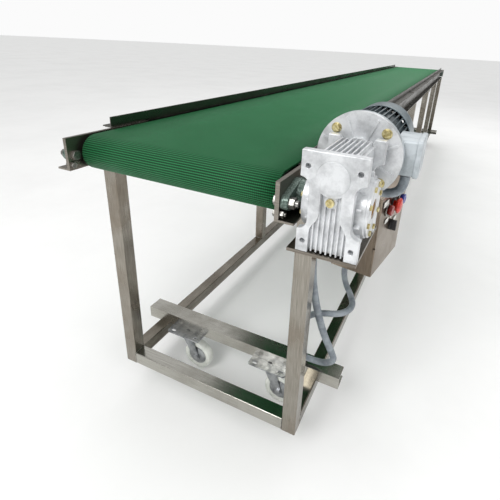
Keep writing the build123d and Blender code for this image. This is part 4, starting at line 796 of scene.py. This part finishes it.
@dataclass
class Belt:
    """The closed belt loop with its ribs."""

    rib_mm: float = 5.0
    rib_height_mm: float = 0.9
    samples: int = 6
    drum_gap_mm: float = 0.3
    edge_gap_mm: float = 0.01

    def build(self) -> None:
        """Makes the belt: a section carried round a slot-shaped loop.

        The loop is two straight runs and two half circles. A station's place along it sets the
        rib height, as half of one plus the cosine of the place over the rib pitch, and that
        height is taken off the groove between crests, so crests lie on the CAD surface.
        """
        low, high = node_box("conveyor_belt")
        drum_low, drum_high = node_box("drive_drum")
        radius = (high[2] - low[2]) / 2
        thickness = radius - (drum_high[2] - drum_low[2]) / 2 - self.drum_gap_mm
        straight = high[1] - low[1] - 2 * radius
        loop = 2 * straight + 2 * math.pi * radius
        ribs = round(loop / self.rib_mm)
        place = np.arange(ribs * self.samples) / (ribs * self.samples) * loop
        centre, outward = self.track(place, straight, low[1] + radius, radius, (low[2] + high[2]) / 2)
        drop = self.rib_height_mm * (0.5 - 0.5 * np.cos(2 * math.pi * place * ribs / loop))
        inside = outward * (radius - thickness)
        outside = outward * (radius - drop[:, None])
        x_left, x_right = low[0] + self.edge_gap_mm, high[0] - self.edge_gap_mm
        columns = (
            (x_left, outside), (x_left * 0.5, outside), (0.0, outside), (x_right * 0.5, outside),
            (x_right, outside), (x_right, inside), (x_left, inside),
        )
        rows = np.stack(
            [np.column_stack([np.full(len(place), x), centre + offset]) for x, offset in columns], axis=1
        )
        count = len(columns)
        mesh = bpy.data.meshes.new("ribbed_belt")
        faces = grid_faces(len(place), count, wrap_rows=True, wrap_columns=True)
        mesh.from_pydata((rows.reshape(-1, 3) * MM).tolist(), [], faces.tolist())
        self.unwrap(mesh, faces, np.array([x for x, _ in columns]), place, loop)
        mesh.shade_smooth()
        sharp = mesh.attributes.new("sharp_face", "BOOLEAN", "FACE")
        cut_edges = (4, 6)
        sharp.data.foreach_set("value", np.isin(faces.min(axis=1) % count, cut_edges))
        shape = bmesh.new()
        shape.from_mesh(mesh)
        bmesh.ops.recalc_face_normals(shape, faces=shape.faces)
        shape.to_mesh(mesh)
        shape.free()
        piece = add_object("ribbed_belt", mesh)
        mesh.materials.append(BELT_GREEN.build())
        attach(piece, "frame")
        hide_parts("conveyor_belt")
        LOG.info("belt with %d ribs", ribs)

    def unwrap(
        self, mesh: bpy.types.Mesh, faces: np.ndarray, across: np.ndarray, place: np.ndarray, loop: float
    ) -> None:
        """Lays out UV as the place across and along the belt, in metres. The place along is scaled
        so that a whole number of rib pitches goes round, and the last row ends at the loop's length.

        Args:
            mesh: Belt mesh, whose vertices are stored station by station.
            faces: Vertex numbers of its quads.
            across: X of each column, in millimetres.
            place: Length along the loop at each station.
            loop: Length of the whole loop.
        """
        count = len(across)
        corners = np.empty(len(mesh.loops), dtype=np.int32)
        mesh.loops.foreach_get("vertex_index", corners)
        station = place[corners // count]
        first = np.repeat(place[faces[:, 0] // count], 4)
        station = np.where(first - station > loop / 2, station + loop, station)
        pitches = round(loop / self.rib_mm)
        uv = np.column_stack([across[corners % count], station * pitches * self.rib_mm / loop]) * MM
        mesh.uv_layers.new(name="belt").data.foreach_set("uv", uv.astype(np.float32).ravel())

    def track(
        self, place: np.ndarray, straight: float, start_y: float, radius: float, axis_z: float
    ) -> tuple[np.ndarray, np.ndarray]:
        """Centre line and outward direction at each place along the loop.

        On the runs the centre slides along Y and outward is up or down; on the half circles the
        centre stays on a drum axis and outward turns evenly.

        Args:
            place: Lengths along the outer surface in millimetres.
            straight: Length of one run.
            start_y: Y of the drive drum's axis.
            radius: Outer radius of the loop's ends.
            axis_z: Height of both axes.

        Returns:
            (y, z) of the centre, and (y, z) of the outward direction, one row per place.
        """
        half = math.pi * radius
        top = place < straight
        tail = (place >= straight) & (place < straight + half)
        bottom = (place >= straight + half) & (place < 2 * straight + half)
        y = np.select(
            [top, tail, bottom], [place, np.full_like(place, straight), 2 * straight + half - place], 0.0
        )
        angle = np.select(
            [top, tail, bottom],
            [
                np.full_like(place, math.pi / 2),
                math.pi / 2 - (place - straight) / radius,
                np.full_like(place, -math.pi / 2),
            ],
            -math.pi / 2 - (place - 2 * straight - half) / radius,
        )
        centre = np.column_stack([start_y + y, np.full_like(place, axis_z)])
        return centre, np.column_stack([np.cos(angle), np.sin(angle)])


@dataclass
class Castors:
    """Four swivelling castors with bright forks, milky wheels and domed hub caps."""

    dome_radius_mm: float = 34.0
    dome_rise_mm: float = 6.8
    dome_sink_mm: float = 4.8
    crown_mm: float = 7.0
    crown_reach_mm: float = 6.2
    bore_mm: float = 5.4

    def build(self) -> None:
        """Makes each wheel anew and rounds the pressings."""
        rounded_copy("castor_plates", BRIGHT_ZINC, 0.8)
        for number in range(1, 5):
            rounded_copy(f"castor_fork_{number}", BRIGHT_ZINC, 0.7)
            self.wheel(number)

    def wheel(self, number: int) -> None:
        """Turns a wheel's tyre and rim, and a domed cap for each side.

        Args:
            number: Which castor.
        """
        low, high = node_box(f"castor_wheel_{number}")
        centre = Vector((low + high) / 2 * MM)
        across = Vector((0, 1, 0)) if high[1] - low[1] < high[0] - low[0] else Vector((1, 0, 0))
        radius = (high[2] - low[2]) / 2
        half = float(min(high[0] - low[0], high[1] - low[1])) / 2
        crown = arc((radius - self.crown_mm, 0.0), self.crown_mm, -62, 62, 13)
        side = [(self.dome_radius_mm - 3, -half + 4), (self.dome_radius_mm + 1, -half + 1),
                (self.dome_radius_mm + 4, -half), (radius - 7.5, -half + 0.6)]
        tyre = side + [(r, h * (half - 0.7) / self.crown_reach_mm) for r, h in crown]
        tyre += [(r, -h) for r, h in reversed(side)]
        bore = [(self.bore_mm, half - 4), (self.bore_mm, -half + 4)]
        wheel = lathe(f"castor_tyre_{number}", tyre + bore + tyre[:1], centre, across, MILKY, 72)
        turn = np.radians(np.linspace(0, 90, 12))
        radii = self.dome_radius_mm * np.sin(turn)
        heights = half - self.dome_sink_mm + self.dome_rise_mm * np.cos(turn)
        dome = [*zip(radii, heights), (self.dome_radius_mm - 1.0, half - 5.5), (0.0, half - 5.5)]
        caps = [
            lathe(f"castor_cap_{number}_{letter}", dome, centre, across * way, BRIGHT_ZINC)
            for letter, way in (("a", 1), ("b", -1))
        ]
        for piece in (wheel, *caps):
            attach(piece, f"castor_wheel_{number}")
        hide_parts(f"castor_wheel_{number}")
        LOG.info("castor wheel %d", number)


@dataclass
class Gearbox:
    """Worm gearbox: housing with head, feet, side rims and cooling ribs; flange and bearings."""

    rim_mm: float = 20.0
    plate_mm: float = 15.0
    waist_mm: float = 36.5
    foot_mm: float = 41.0
    foot_width_mm: float = 21.0
    narrow_from_mm: float = 38.0
    narrow_rise_mm: float = 34.0
    ear_gap_mm: float = 34.0
    ear_rise_mm: float = 12.0
    head_mm: float = 43.0
    rib_pitch_mm: float = 8.6
    rib_count: int = 7
    lobe_mm: float = 32.0
    side_boss_mm: float = 52.0
    plug_height_mm: float = 96.0
    screw_circle_mm: float = 65.0
    flange_rim_mm: float = 10.0

    def build(self) -> None:
        """Makes the housing and rounds everything bolted to it."""
        self.housing()
        rounded_copy("gearbox_covers", CAST_SILVER, 0.9)
        rounded_copy("gearbox_flange", CAST_SILVER, 1.0)
        rounded_copy("gearbox_bracket", SHEET_ACROSS, 0.8)
        rounded_copy("gearbox_fasteners", YELLOW_ZINC, 0.6)
        rounded_copy("frame_fasteners", SCREW, 0.6)
        rounded_copy("drive_bearing_units", BEARING_GREEN, 1.6)
        rounded_copy("tail_bearing_units", BEARING_GREEN, 1.2)
        dress(SCREW, "take_up_screws")
        dress(BRONZE, "worm_wheel")
        dress(GROUND_GEAR, "worm_shaft")

    def face_outline(self, half: float, height: float) -> np.ndarray:
        """Right half of the front frame's outline, from the foot up to the head, then mirrored.

        The foot is a square pad, the side curves in to the waist with one arc, runs straight up
        and curves out again under the head, which is a square plate.

        Args:
            half: Half of the housing's width in millimetres.
            height: Height of the housing.

        Returns:
            Closed outline in millimetres, with zero at the middle of the base.
        """
        bend = half - self.waist_mm
        foot, head = self.foot_mm, height - self.head_mm
        lower = arc((half, foot + bend), bend, 270, 180, 7)
        upper = arc((half, head - bend), bend, 180, 90, 7)
        right = np.concatenate([[(half, 0.0), (half, foot)], lower, upper, [(half, head), (half, height)]])
        left = right[::-1] * np.array([-1.0, 1.0])
        return np.concatenate([right, left])

    def window_outline(self, half: float, cap: float) -> np.ndarray:
        """Opening of the front frame, where the ribs show.

        It is as wide as the gap between the feet at the bottom, narrows along half a wave to
        the gap between the columns, and ends above in an arc round the cap.

        Args:
            half: Half of the housing's width in millimetres.
            cap: Height of the cap's middle.

        Returns:
            Closed outline in millimetres.
        """
        inner = self.waist_mm - self.rim_mm
        wide = half - self.foot_width_mm - 0.5
        bend = np.linspace(0.0, 1.0, 9)
        x = inner + (wide - inner) * (0.5 + 0.5 * np.cos(math.pi * bend))
        right = np.column_stack([x, self.narrow_from_mm + self.narrow_rise_mm * bend])
        open_angle = math.degrees(math.acos(inner / self.lobe_mm))
        top = arc((0.0, cap), self.lobe_mm, -open_angle, open_angle - 180.0, 11)
        left = right[::-1] * np.array([-1.0, 1.0])
        return np.concatenate([[(-wide, -5.0), (wide, -5.0)], right, top, left])

    def ear_notch(self, height: float) -> np.ndarray:
        """Opening between the two rear ears: an arc that dips below the housing's top."""
        radius, middle = self.ear_gap_mm, height + self.ear_rise_mm
        dip = arc((0.0, middle), radius, 200, 340, 15)
        return np.concatenate([dip, [(radius, middle), (-radius, middle)]])

    def housing(self) -> None:
        """Makes the two frame plates, with their openings cut, and the body with its ribs and bosses, as
        three pieces.
        """
        low, high = node_box("gearbox_housing")
        worm_low, worm_high = node_box("worm_shaft")
        half = (high[0] - low[0]) / 2
        middle = (low[0] + high[0]) / 2
        height = high[2] - low[2]
        cap = (worm_low[2] + worm_high[2]) / 2 - low[2]
        right, up = Vector((1, 0, 0)), Vector((0, 0, 1))
        window = self.window_outline(half, cap)
        frames = []
        for number, y in enumerate((low[1], high[1])):
            # right cross up points to -Y, so the front plate has a negative depth
            way = -1.0 if number == 0 else 1.0
            origin = Vector((middle, y, low[2])) * MM
            start = origin + Vector((0, way * 0.00002, 0))
            plate = slab(self.face_outline(half, height), origin, right, up, way * self.plate_mm)
            piece = new_piece(f"gearbox_frame_{number}", *plate, CAST_SILVER)
            hole = slab(window, start, right, up, way * 2 * self.plate_mm)
            cutters = [new_piece(f"window_{number}", *hole, CAST_SILVER)]
            if number == 0:
                cutters += self.hole_cutters(low, middle)
            else:
                notch = slab(self.ear_notch(height), start, right, up, 2 * self.plate_mm)
                cutters.append(new_piece("ear_notch", *notch, CAST_SILVER))
            cut_holes(piece, cutters)
            frames.append(piece)
        body = self.body(low, high, middle, cap)
        for piece, width in ((frames[0], 1.8), (frames[1], 1.8), (body, 1.0)):
            round_edges(piece, width, 3)
            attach(piece, "frame")
        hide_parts("gearbox_housing")
        self.washers()
        LOG.info("gearbox housing, %.0f mm high", height)

    def washers(self) -> None:
        """Turns a flat washer under each of the four flange screws."""
        low, high = node_box("gearbox_flange")
        centre = (low + high) / 2
        reach = self.screw_circle_mm * math.sqrt(0.5)
        for number, (x, z) in enumerate(((-1, -1), (1, -1), (1, 1), (-1, 1))):
            seat = high[1] - self.flange_rim_mm
            place = Vector((centre[0] + x * reach, seat, centre[2] + z * reach)) * MM
            profile = [(0.0, 0.05), (9.4, 0.05), (9.6, 0.4), (9.4, 1.4), (9.0, 1.6), (0.0, 1.6)]
            piece = lathe(f"flange_washer_{number}", profile, place, Vector((0, -1, 0)), YELLOW_ZINC, 36)
            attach(piece, "frame")

    def hole_cutters(self, low: np.ndarray, middle: float) -> list[Piece]:
        """Drills for the four mounting holes in the front.

        Args:
            low: Lowest corner of the housing in millimetres.
            middle: X of its middle.

        Returns:
            One pin for each hole.
        """
        mount = next(m for m in frame["record"]["mounts"] if m["name"] == "gearbox_face_holes")
        place = np.array(mount["pos_m"]) / MM
        across, rise = mount["dims"]["spacing_x_mm"] / 2, mount["dims"]["spacing_y_mm"] / 2
        radius = mount["dims"]["hole_r_mm"]
        pins = []
        for x in (-across, across):
            for z in (-rise, rise):
                centre = Vector((middle + x, low[1] - 2.0, place[2] + z)) * MM
                profile = [(0.0, 0.0), (radius, 0.0), (radius, 14.0), (0.0, 15.5)]
                pins.append(lathe(f"drill_{x:.0f}_{z:.0f}", profile, centre, Vector((0, 1, 0)), SCREW, 28))
        return pins

    def body(self, low: np.ndarray, high: np.ndarray, middle: float, cap: float) -> Piece:
        """The casting between the frames: a waisted block, with ribs, side bosses and a plug boss.

        Args:
            low: Lowest corner of the housing in millimetres.
            high: Highest corner.
            middle: X of its middle.
            cap: Height of the cap's middle above the base.

        Returns:
            The body as one piece.
        """
        waist = self.waist_mm - 3.0
        near = (middle - waist, low[1] + 9.0, low[2] + 3.0)
        block = box_slab(near, (middle + waist, high[1] - 9.0, high[2] - 12.0))
        shapes = [block, *self.ribs(low, high, middle, cap), *self.side_bosses(low, high)]
        plug_origin = Vector((middle, low[1] + 0.6, low[2] + self.plug_height_mm)) * MM
        plug = arc((0.0, 0.0), 10.5, 0, 352.0, 40)
        shapes.append(slab(plug, plug_origin, Vector((1, 0, 0)), Vector((0, 0, 1)), -14.0))
        return new_piece("gearbox_body", *join_shapes(shapes), CAST_SILVER)

    def ribs(self, low: np.ndarray, high: np.ndarray, middle: float, cap: float) -> list[Shape]:
        """Upright ribs below the cap and long ribs on top, side by side at one pitch."""
        top = low[2] + cap - self.lobe_mm + 4.0
        shapes = []
        for number in range(self.rib_count):
            x = middle + (number - self.rib_count // 2) * self.rib_pitch_mm
            shapes.append(box_slab((x - 1.5, low[1] + 3.0, low[2] + 2), (x + 1.5, high[1] - 3.0, top)))
            near = (x - 1.6, low[1] + 12.0, high[2] - 22.0)
            shapes.append(box_slab(near, (x + 1.6, high[1] - 12.0, high[2] - 3.5)))
        return shapes

    def side_bosses(self, low: np.ndarray, high: np.ndarray) -> list[Shape]:
        """The disc round the output bearings, and webs that stand out from it every 30 degrees."""
        wheel_low, wheel_high = node_box("worm_wheel")
        axis = (wheel_low + wheel_high) / 2
        origin = Vector((low[0] + 1.0, axis[1], axis[2])) * MM
        along, up = Vector((0, 1, 0)), Vector((0, 0, 1))
        width = high[0] - low[0]
        shapes = [slab(arc((0.0, 0.0), self.side_boss_mm, 0, 357.0, 72), origin, along, up, width - 2.0)]
        for angle in np.radians(np.arange(15, 375, 30)):
            way = np.array([math.cos(angle), math.sin(angle)])
            side = np.array([-way[1], way[0]])
            corners = ((46, -2), (61, -2), (61, 2), (46, 2))
            web = np.array([way * out + side * over for out, over in corners])
            if abs(way[1]) < 0.98:
                for shift in (7.0, width - 16.0):
                    shapes.append(slab(web, origin + Vector((shift, 0, 0)) * MM, along, up, 9.0))
        return shapes


@dataclass
class Motor:
    """Finned motor with its flange, fan cover, fan and terminal box."""

    screw_inset_mm: float = 9.0

    def build(self) -> None:
        """Rounds and dresses the motor's pieces."""
        rounded_copy("motor_flange", MOTOR_GREY, 1.2)
        rounded_copy("terminal_box", MOTOR_GREY, 1.5)
        rounded_copy("terminal_lid", MOTOR_GREY, 1.2)
        dress(FIN_GREY, "motor_stator")
        rounded_copy("motor_fan_cover", COVER_GREY, 0.8)
        dress(FAN_PLASTIC, "motor_fan")
        dress(GROUND_GEAR, "motor_rotor")
        self.lid_screws()

    def lid_screws(self) -> None:
        """Turns a small domed screw for each corner of the terminal lid."""
        low, high = node_box("terminal_lid")
        inset = self.screw_inset_mm
        profile = [(0.0, 0.0), (3.4, 0.0), (3.4, 0.8), (2.6, 1.3), (0.9, 1.35), (0.7, 0.7), (0.0, 0.7)]
        for y in (low[1] + inset, high[1] - inset):
            for z in (low[2] + inset, high[2] - inset):
                centre = Vector((high[0] - 1.4, y, z)) * MM
                screw = lathe(f"lid_screw_{y:.0f}_{z:.0f}", profile, centre, Vector((1, 0, 0)), SCREW, 20)
                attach(screw, "frame")


class Plate(Enum):
    """Blank plates on the door: place along and up, width and height, in millimetres."""

    STOP = (54.0, 137.0, 26.0, 11.0)
    EMERGENCY = (93.0, 140.0, 24.0, 10.0)
    START = (130.0, 143.0, 24.0, 11.0)
    TITLE = (29.0, 190.0, 34.0, 14.0)
    SELECTOR = (128.0, 118.0, 22.0, 10.0)


@dataclass
class ControlBox:
    """Control box on its straps, with its door, buttons, selector and blank plates."""

    cap_radius_mm: float = 13.0
    cap_top_mm: float = 13.0
    stem_radius_mm: float = 10.5
    stem_depth_mm: float = 24.0
    bezel_gap_mm: float = 0.6
    outer_points: int = 40
    stop_place_mm: tuple[float, float] = (50.0, 168.0)
    plate_corner_mm: float = 1.5
    plate_thickness_mm: float = 0.8

    def build(self) -> None:
        """Rounds the box and door, turns the buttons and lays the plates."""
        rounded_copy("control_box", BOX_SHEET, 0.7)
        rounded_copy("control_door", BOX_SHEET, 0.9)
        rounded_copy("box_straps", TUBE_UPRIGHT, 0.7)
        out = -joint_axis("stop_button_press")
        self.button("stop_button", out, DARK_RED_CAP)
        self.mushroom(out)
        self.button("start_button", out, BLUE_CAP)
        rounded_copy("selector_switch", BLACK_PLASTIC, 1.2)
        self.plates(out)

    def face_of(self, node: str, out: Vector) -> Vector:
        """Middle of a round control where its axis meets the door's outer face, in metres.

        Args:
            node: CAD node of the control.
            out: Direction that the door faces.

        Returns:
            Point on the door's outer face.
        """
        verts = np.array([v.co for v in frame["nodes"][node].data.vertices])
        way = np.array(out)
        heights = verts @ way
        middle = (verts.min(0) + verts.max(0)) / 2
        door = np.array([v.co for v in frame["nodes"]["control_door"].data.vertices])
        face = np.median(np.sort(door @ way)[-self.outer_points :])
        centre = middle + way * ((heights.min() + heights.max()) / 2 - middle @ way)
        return Vector(centre + way * (face - centre @ way))

    def button(self, node: str, out: Vector, finish: Finish) -> None:
        """Turns a cap with a dished top, and its bezel ring on the door, which the cap goes into.

        Args:
            node: CAD node that the cap replaces.
            out: Direction that the door faces.
            finish: Finish of the cap.
        """
        face = self.face_of(node, out)
        radius, top = self.cap_radius_mm, self.cap_top_mm
        stem, depth = self.stem_radius_mm, self.stem_depth_mm
        profile = [(0.0, -depth), (stem, -depth), (stem, 5.0), (radius, 5.0), (radius, top - 1.5)]
        profile += [(radius - 0.6, top - 0.4), (radius - 1.8, top), (radius - 3.5, top - 0.3)]
        profile += [(radius * 0.5, top - 1.2), (0.0, top - 1.5)]
        cap = lathe(f"{node}_cap", profile, face, out, finish, 44)
        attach(cap, node)
        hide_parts(node)
        inner = radius + self.bezel_gap_mm
        bezel = [(inner, 0.1), (inner + 3.6, 0.1), (inner + 3.6, 1.6), (inner + 2.8, 2.4)]
        bezel += [(inner + 0.7, 2.4), (inner, 1.7), (inner, 0.1)]
        ring = lathe(f"{node}_bezel", bezel, face, out, SCREW, 44)
        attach(ring, "control_door")

    def mushroom(self, out: Vector) -> None:
        """Turns the emergency stop's mushroom head and its black collar."""
        face = self.face_of("emergency_stop", out)
        stem, depth = self.stem_radius_mm, self.stem_depth_mm
        profile = [(0.0, -depth), (stem, -depth), (stem, 6.0), (13.5, 7.0), (17.0, 9.5), (19.4, 12.5)]
        profile += [(19.8, 14.5), (18.6, 16.8), (15.5, 18.8), (10.0, 20.2), (4.0, 20.8), (0.0, 20.9)]
        head = lathe("emergency_stop_head", profile, face, out, RED_CAP, 52)
        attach(head, "emergency_stop")
        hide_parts("emergency_stop")
        collar = [(11.2, 0.1), (18.0, 0.1), (18.0, 1.0), (16.8, 1.6), (12.4, 1.6), (11.2, 1.2), (11.2, 0.1)]
        ring = lathe("emergency_stop_collar", collar, face, out, BLACK_PLASTIC, 52)
        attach(ring, "control_door")

    def plates(self, out: Vector) -> None:
        """Lays a blank plate with rounded corners at each named place on the door."""
        along, up = Vector((0, 0, 1)).cross(out), Vector((0, 0, 1))
        stop_along, stop_up = self.stop_place_mm
        door_corner = self.face_of("stop_button", out) - (along * stop_along + up * stop_up) * MM
        radius = self.plate_corner_mm
        shapes = []
        for plate in Plate:
            x, z, width, height = plate.value
            reach_x, reach_z = width / 2 - radius, height / 2 - radius
            corners = [
                arc((x + way_x * reach_x, z + way_z * reach_z), radius, 90 * turn, 90 * turn + 90, 4)
                for turn, (way_x, way_z) in enumerate(((1, 1), (-1, 1), (-1, -1), (1, -1)))
            ]
            start = door_corner + out * 0.05 * MM
            shapes.append(slab(np.concatenate(corners), start, along, up, self.plate_thickness_mm))
        piece = new_piece("door_plates", *join_shapes(shapes), WHITE_LAMINATE)
        round_edges(piece, 0.2, 1)
        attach(piece, "control_door")
        LOG.info("%d door plates", len(shapes))


@dataclass
class Hose:
    """A corrugated conduit along one smooth spline. Its rings are laid out from a reference
    direction that the route never follows."""

    name: str
    node: str
    diameter_mm: float
    route_mm: tuple[Point, ...]
    reference: Point
    pitch_mm: float = 3.0
    groove_share: float = 0.07
    steps: int = 20

    def spline_points(self) -> np.ndarray:
        """Points along the route's NURBS spline, as Blender gives them for a bare curve.

        Returns:
            Places in metres, one row each.
        """
        curve = bpy.data.curves.new(f"{self.name}_route", "CURVE")
        curve.dimensions = "3D"
        curve.resolution_u = 14
        spline = curve.splines.new("NURBS")
        spline.points.add(len(self.route_mm) - 1)
        places = np.column_stack([np.array(self.route_mm) * MM, np.ones(len(self.route_mm))])
        spline.points.foreach_set("co", places.ravel())
        spline.order_u = 3
        spline.use_endpoint_u = True
        holder = add_object(f"{self.name}_route", curve)
        bpy.context.view_layer.update()
        mesh = bpy.data.meshes.new_from_object(holder)
        points = np.empty(len(mesh.vertices) * 3)
        mesh.vertices.foreach_get("co", points)
        bpy.data.objects.remove(holder)
        return points.reshape(-1, 3)

    def build(self) -> None:
        """Carries a ring along the spline. Its radius falls between the ribs, as a raised cosine
        of the length, and each end is closed."""
        points = self.spline_points()
        steps = np.linalg.norm(np.diff(points, axis=0), axis=1)
        length = np.concatenate([[0.0], np.cumsum(steps)])
        count = int(length[-1] / (self.pitch_mm * MM) * 6)
        place = np.linspace(0, length[-1], count)
        centre = np.column_stack([np.interp(place, length, points[:, k]) for k in range(3)])
        way = np.gradient(centre, axis=0)
        way /= np.linalg.norm(way, axis=1)[:, None]
        side = np.cross(way, np.array(self.reference))
        side /= np.linalg.norm(side, axis=1)[:, None]
        other = np.cross(way, side)
        angle = np.linspace(0, 2 * math.pi, self.steps, endpoint=False)
        wave = 0.5 - 0.5 * np.cos(2 * math.pi * place / (self.pitch_mm * MM))
        radius = self.diameter_mm / 2 * MM * (1 - self.groove_share * wave)
        ring = np.cos(angle)[:, None] * side[:, None, :] + np.sin(angle)[:, None] * other[:, None, :]
        rows = centre[:, None, :] + radius[:, None, None] * ring
        piece = new_piece(self.name, rows.reshape(-1, 3), tube_faces(count, self.steps), HOSE_GREY)
        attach(piece, "frame")
        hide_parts(self.node)
        LOG.info("%s, %.0f mm long", self.name, length[-1] / MM)


MOTOR_CONDUIT = Hose(
    name="motor_conduit_hose",
    node="motor_conduit",
    diameter_mm=20.0,
    route_mm=(
        (422.0, 120.0, 795.7), (422.0, 120.0, 769.7), (404.0, 127.0, 749.7), (372.0, 136.0, 744.7),
        (336.0, 142.0, 753.7), (301.0, 141.0, 768.7), (269.0, 141.0, 768.7),
    ),
    reference=(0.0, 1.0, 0.0),
)
CONTROL_HOSE = Hose(
    name="control_loop_hose",
    node="control_hose",
    diameter_mm=16.0,
    route_mm=(
        (303.0, 232.0, 486.0), (303.0, 232.0, 458.0), (315.0, 226.0, 431.0), (335.0, 208.0, 416.0),
        (348.0, 180.0, 411.0), (343.0, 149.0, 410.0), (322.0, 127.0, 409.0), (288.0, 113.0, 410.0),
        (268.0, 98.0, 410.0), (256.0, 77.0, 410.0), (256.0, 52.0, 410.0),
    ),
    reference=(0.577, 0.577, 0.577),
)
SUPPLY_HOSE = Hose(
    name="supply_drop_hose",
    node="supply_hose",
    diameter_mm=18.0,
    route_mm=(
        (266.0, 62.0, 734.0), (266.0, 62.0, 690.0), (264.0, 62.0, 636.0), (265.0, 61.0, 578.0),
        (271.0, 63.0, 520.0), (281.0, 70.0, 462.0), (292.0, 84.0, 404.0), (303.0, 102.0, 350.0),
        (313.0, 117.0, 312.0), (320.0, 136.0, 273.0), (324.0, 152.0, 240.0), (308.0, 164.0, 210.0),
        (277.0, 172.0, 192.0), (241.0, 172.0, 192.0),
    ),
    reference=(0.0, 1.0, 0.0),
)


@dataclass
class Hoses:
    """The three conduits and their glands."""

    def build(self) -> None:
        """Builds each hose and rounds the glands."""
        for hose in (MOTOR_CONDUIT, CONTROL_HOSE, SUPPLY_HOSE):
            hose.build()
        rounded_copy("cable_glands", GLAND_GREY, 0.8)


@dataclass
class Studio:
    """Pale floor, soft lights and the camera."""

    eye_mm: Point = (485.0, -657.6, 1031.2)
    yaw: float = 23.54
    pitch: float = 22.35
    roll: float = 3.11
    lens_mm: float = 27.76
    shift: tuple[float, float] = (-0.0556, -0.1004)

    def build(self) -> None:
        """Sets up the floor, the lights, the sky and the camera."""
        self.floor()
        self.light("key", (-0.6, -2.8, 3.2), (0.2, 0.2, 0.6), 1.6, 70.0)
        self.light("fill", (2.8, -1.0, 2.0), (0.3, 0.3, 0.6), 1.2, 16.0)
        self.light("far", (0.5, 5.0, 4.0), (0.0, 2.5, 0.6), 3.0, 45.0)
        self.sky()
        self.camera()

    def floor(self) -> None:
        """A wide pale disc under the wheels: rings of growing radius at height zero."""
        angle = np.linspace(0, 2 * math.pi, 96, endpoint=False)
        radii = np.array([0.01, 9.0, 60.0])
        x = radii[:, None] * np.cos(angle)[None, :]
        y = 2.0 + radii[:, None] * np.sin(angle)[None, :]
        rows = np.stack([x, y, np.full_like(x, -0.0005)], axis=-1)
        faces = grid_faces(3, 96, wrap_columns=True).tolist() + [list(range(96))]
        paper = Coating(
            "pale floor paper", "", light="#fcfcfb", dark="#f7f7f6", roughness=0.8,
            grain_mm=4.0, depth_mm=0.02, cloud_mm=900.0,
        )
        floor = new_piece("studio_floor", rows.reshape(-1, 3), faces, paper)

    def light(self, name: str, place: Point, aim: Point, size: float, power: float) -> None:
        """Hangs a square soft light and aims it.

        Args:
            name: Name of the light.
            place: Where it hangs, in metres.
            aim: Point that it faces.
            size: Side length.
            power: Watts.
        """
        lamp = bpy.data.lights.new(name, "AREA")
        lamp.size = size
        lamp.energy = power
        holder = add_object(name, lamp)
        holder.location = place
        holder.rotation_euler = (Vector(aim) - Vector(place)).to_track_quat("-Z", "Y").to_euler()

    def sky(self) -> None:
        """A white room: bright above, a darker band at the horizon for metal to mirror."""
        world = bpy.data.worlds.new("studio")
        world.use_nodes = True
        tree = world.node_tree
        tree.nodes.clear()
        place = add_node(tree, "ShaderNodeTexCoord", {}, {}).outputs["Generated"]
        height = add_node(tree, "ShaderNodeSeparateXYZ", {}, {"Vector": place}).outputs["Z"]
        rise = add_range(tree, height, (-1.0, 1.0))
        below = [(0.0, "#e8e8e8"), (0.46, "#dedede")]
        band = [(0.5, "#4a4844"), (0.6, "#77746f")]
        above = [(0.72, "#f4f5f6"), (1.0, "#ffffff")]
        tone = add_ramp(tree, rise, below + band + above)
        glow, paper = (
            add_node(tree, "ShaderNodeBackground", {}, {"Color": colour, "Strength": power})
            for colour, power in ((tone, 0.92), (srgb("#fbfbfb"), 1.0))
        )
        seen = add_node(tree, "ShaderNodeLightPath", {}, {}).outputs["Is Camera Ray"]
        inputs = {0: seen, 1: glow.outputs["Background"], 2: paper.outputs["Background"]}
        either = add_node(tree, "ShaderNodeMixShader", {}, inputs)
        add_node(tree, "ShaderNodeOutputWorld", {}, {"Surface": either.outputs["Shader"]})
        bpy.context.scene.world = world

    def camera(self) -> None:
        """Places the camera by its yaw from +Y, its pitch down and its roll."""
        yaw, pitch, roll = (math.radians(a) for a in (self.yaw, self.pitch, self.roll))
        ahead = Vector((-math.sin(yaw) * math.cos(pitch), math.cos(yaw) * math.cos(pitch), -math.sin(pitch)))
        right = Vector((math.cos(yaw), math.sin(yaw), 0.0))
        up = right.cross(ahead)
        tilted = right * math.cos(roll) + up * math.sin(roll)
        upward = -right * math.sin(roll) + up * math.cos(roll)
        lens = bpy.data.cameras.new("view")
        lens.lens = self.lens_mm
        lens.sensor_width = 36.0
        lens.shift_x, lens.shift_y = self.shift
        lens.clip_end = 120.0
        camera = add_object("view", lens)
        turn = Matrix((tilted, upward, -ahead)).transposed().to_4x4()
        camera.matrix_world = Matrix.Translation(Vector(self.eye_mm) * MM) @ turn
        bpy.context.scene.camera = camera
        bpy.context.scene.view_settings.view_transform = "Standard"


def main() -> None:
    """Builds every sub-assembly in order."""
    logging.basicConfig(level=logging.INFO, format="%(name)s: %(message)s")
    for assembly in (Studio(), Hoses(), Stand(), Belt(), Castors(), Gearbox(), Motor(), ControlBox()):
        assembly.build()


if __name__ == "__main__":
    main()
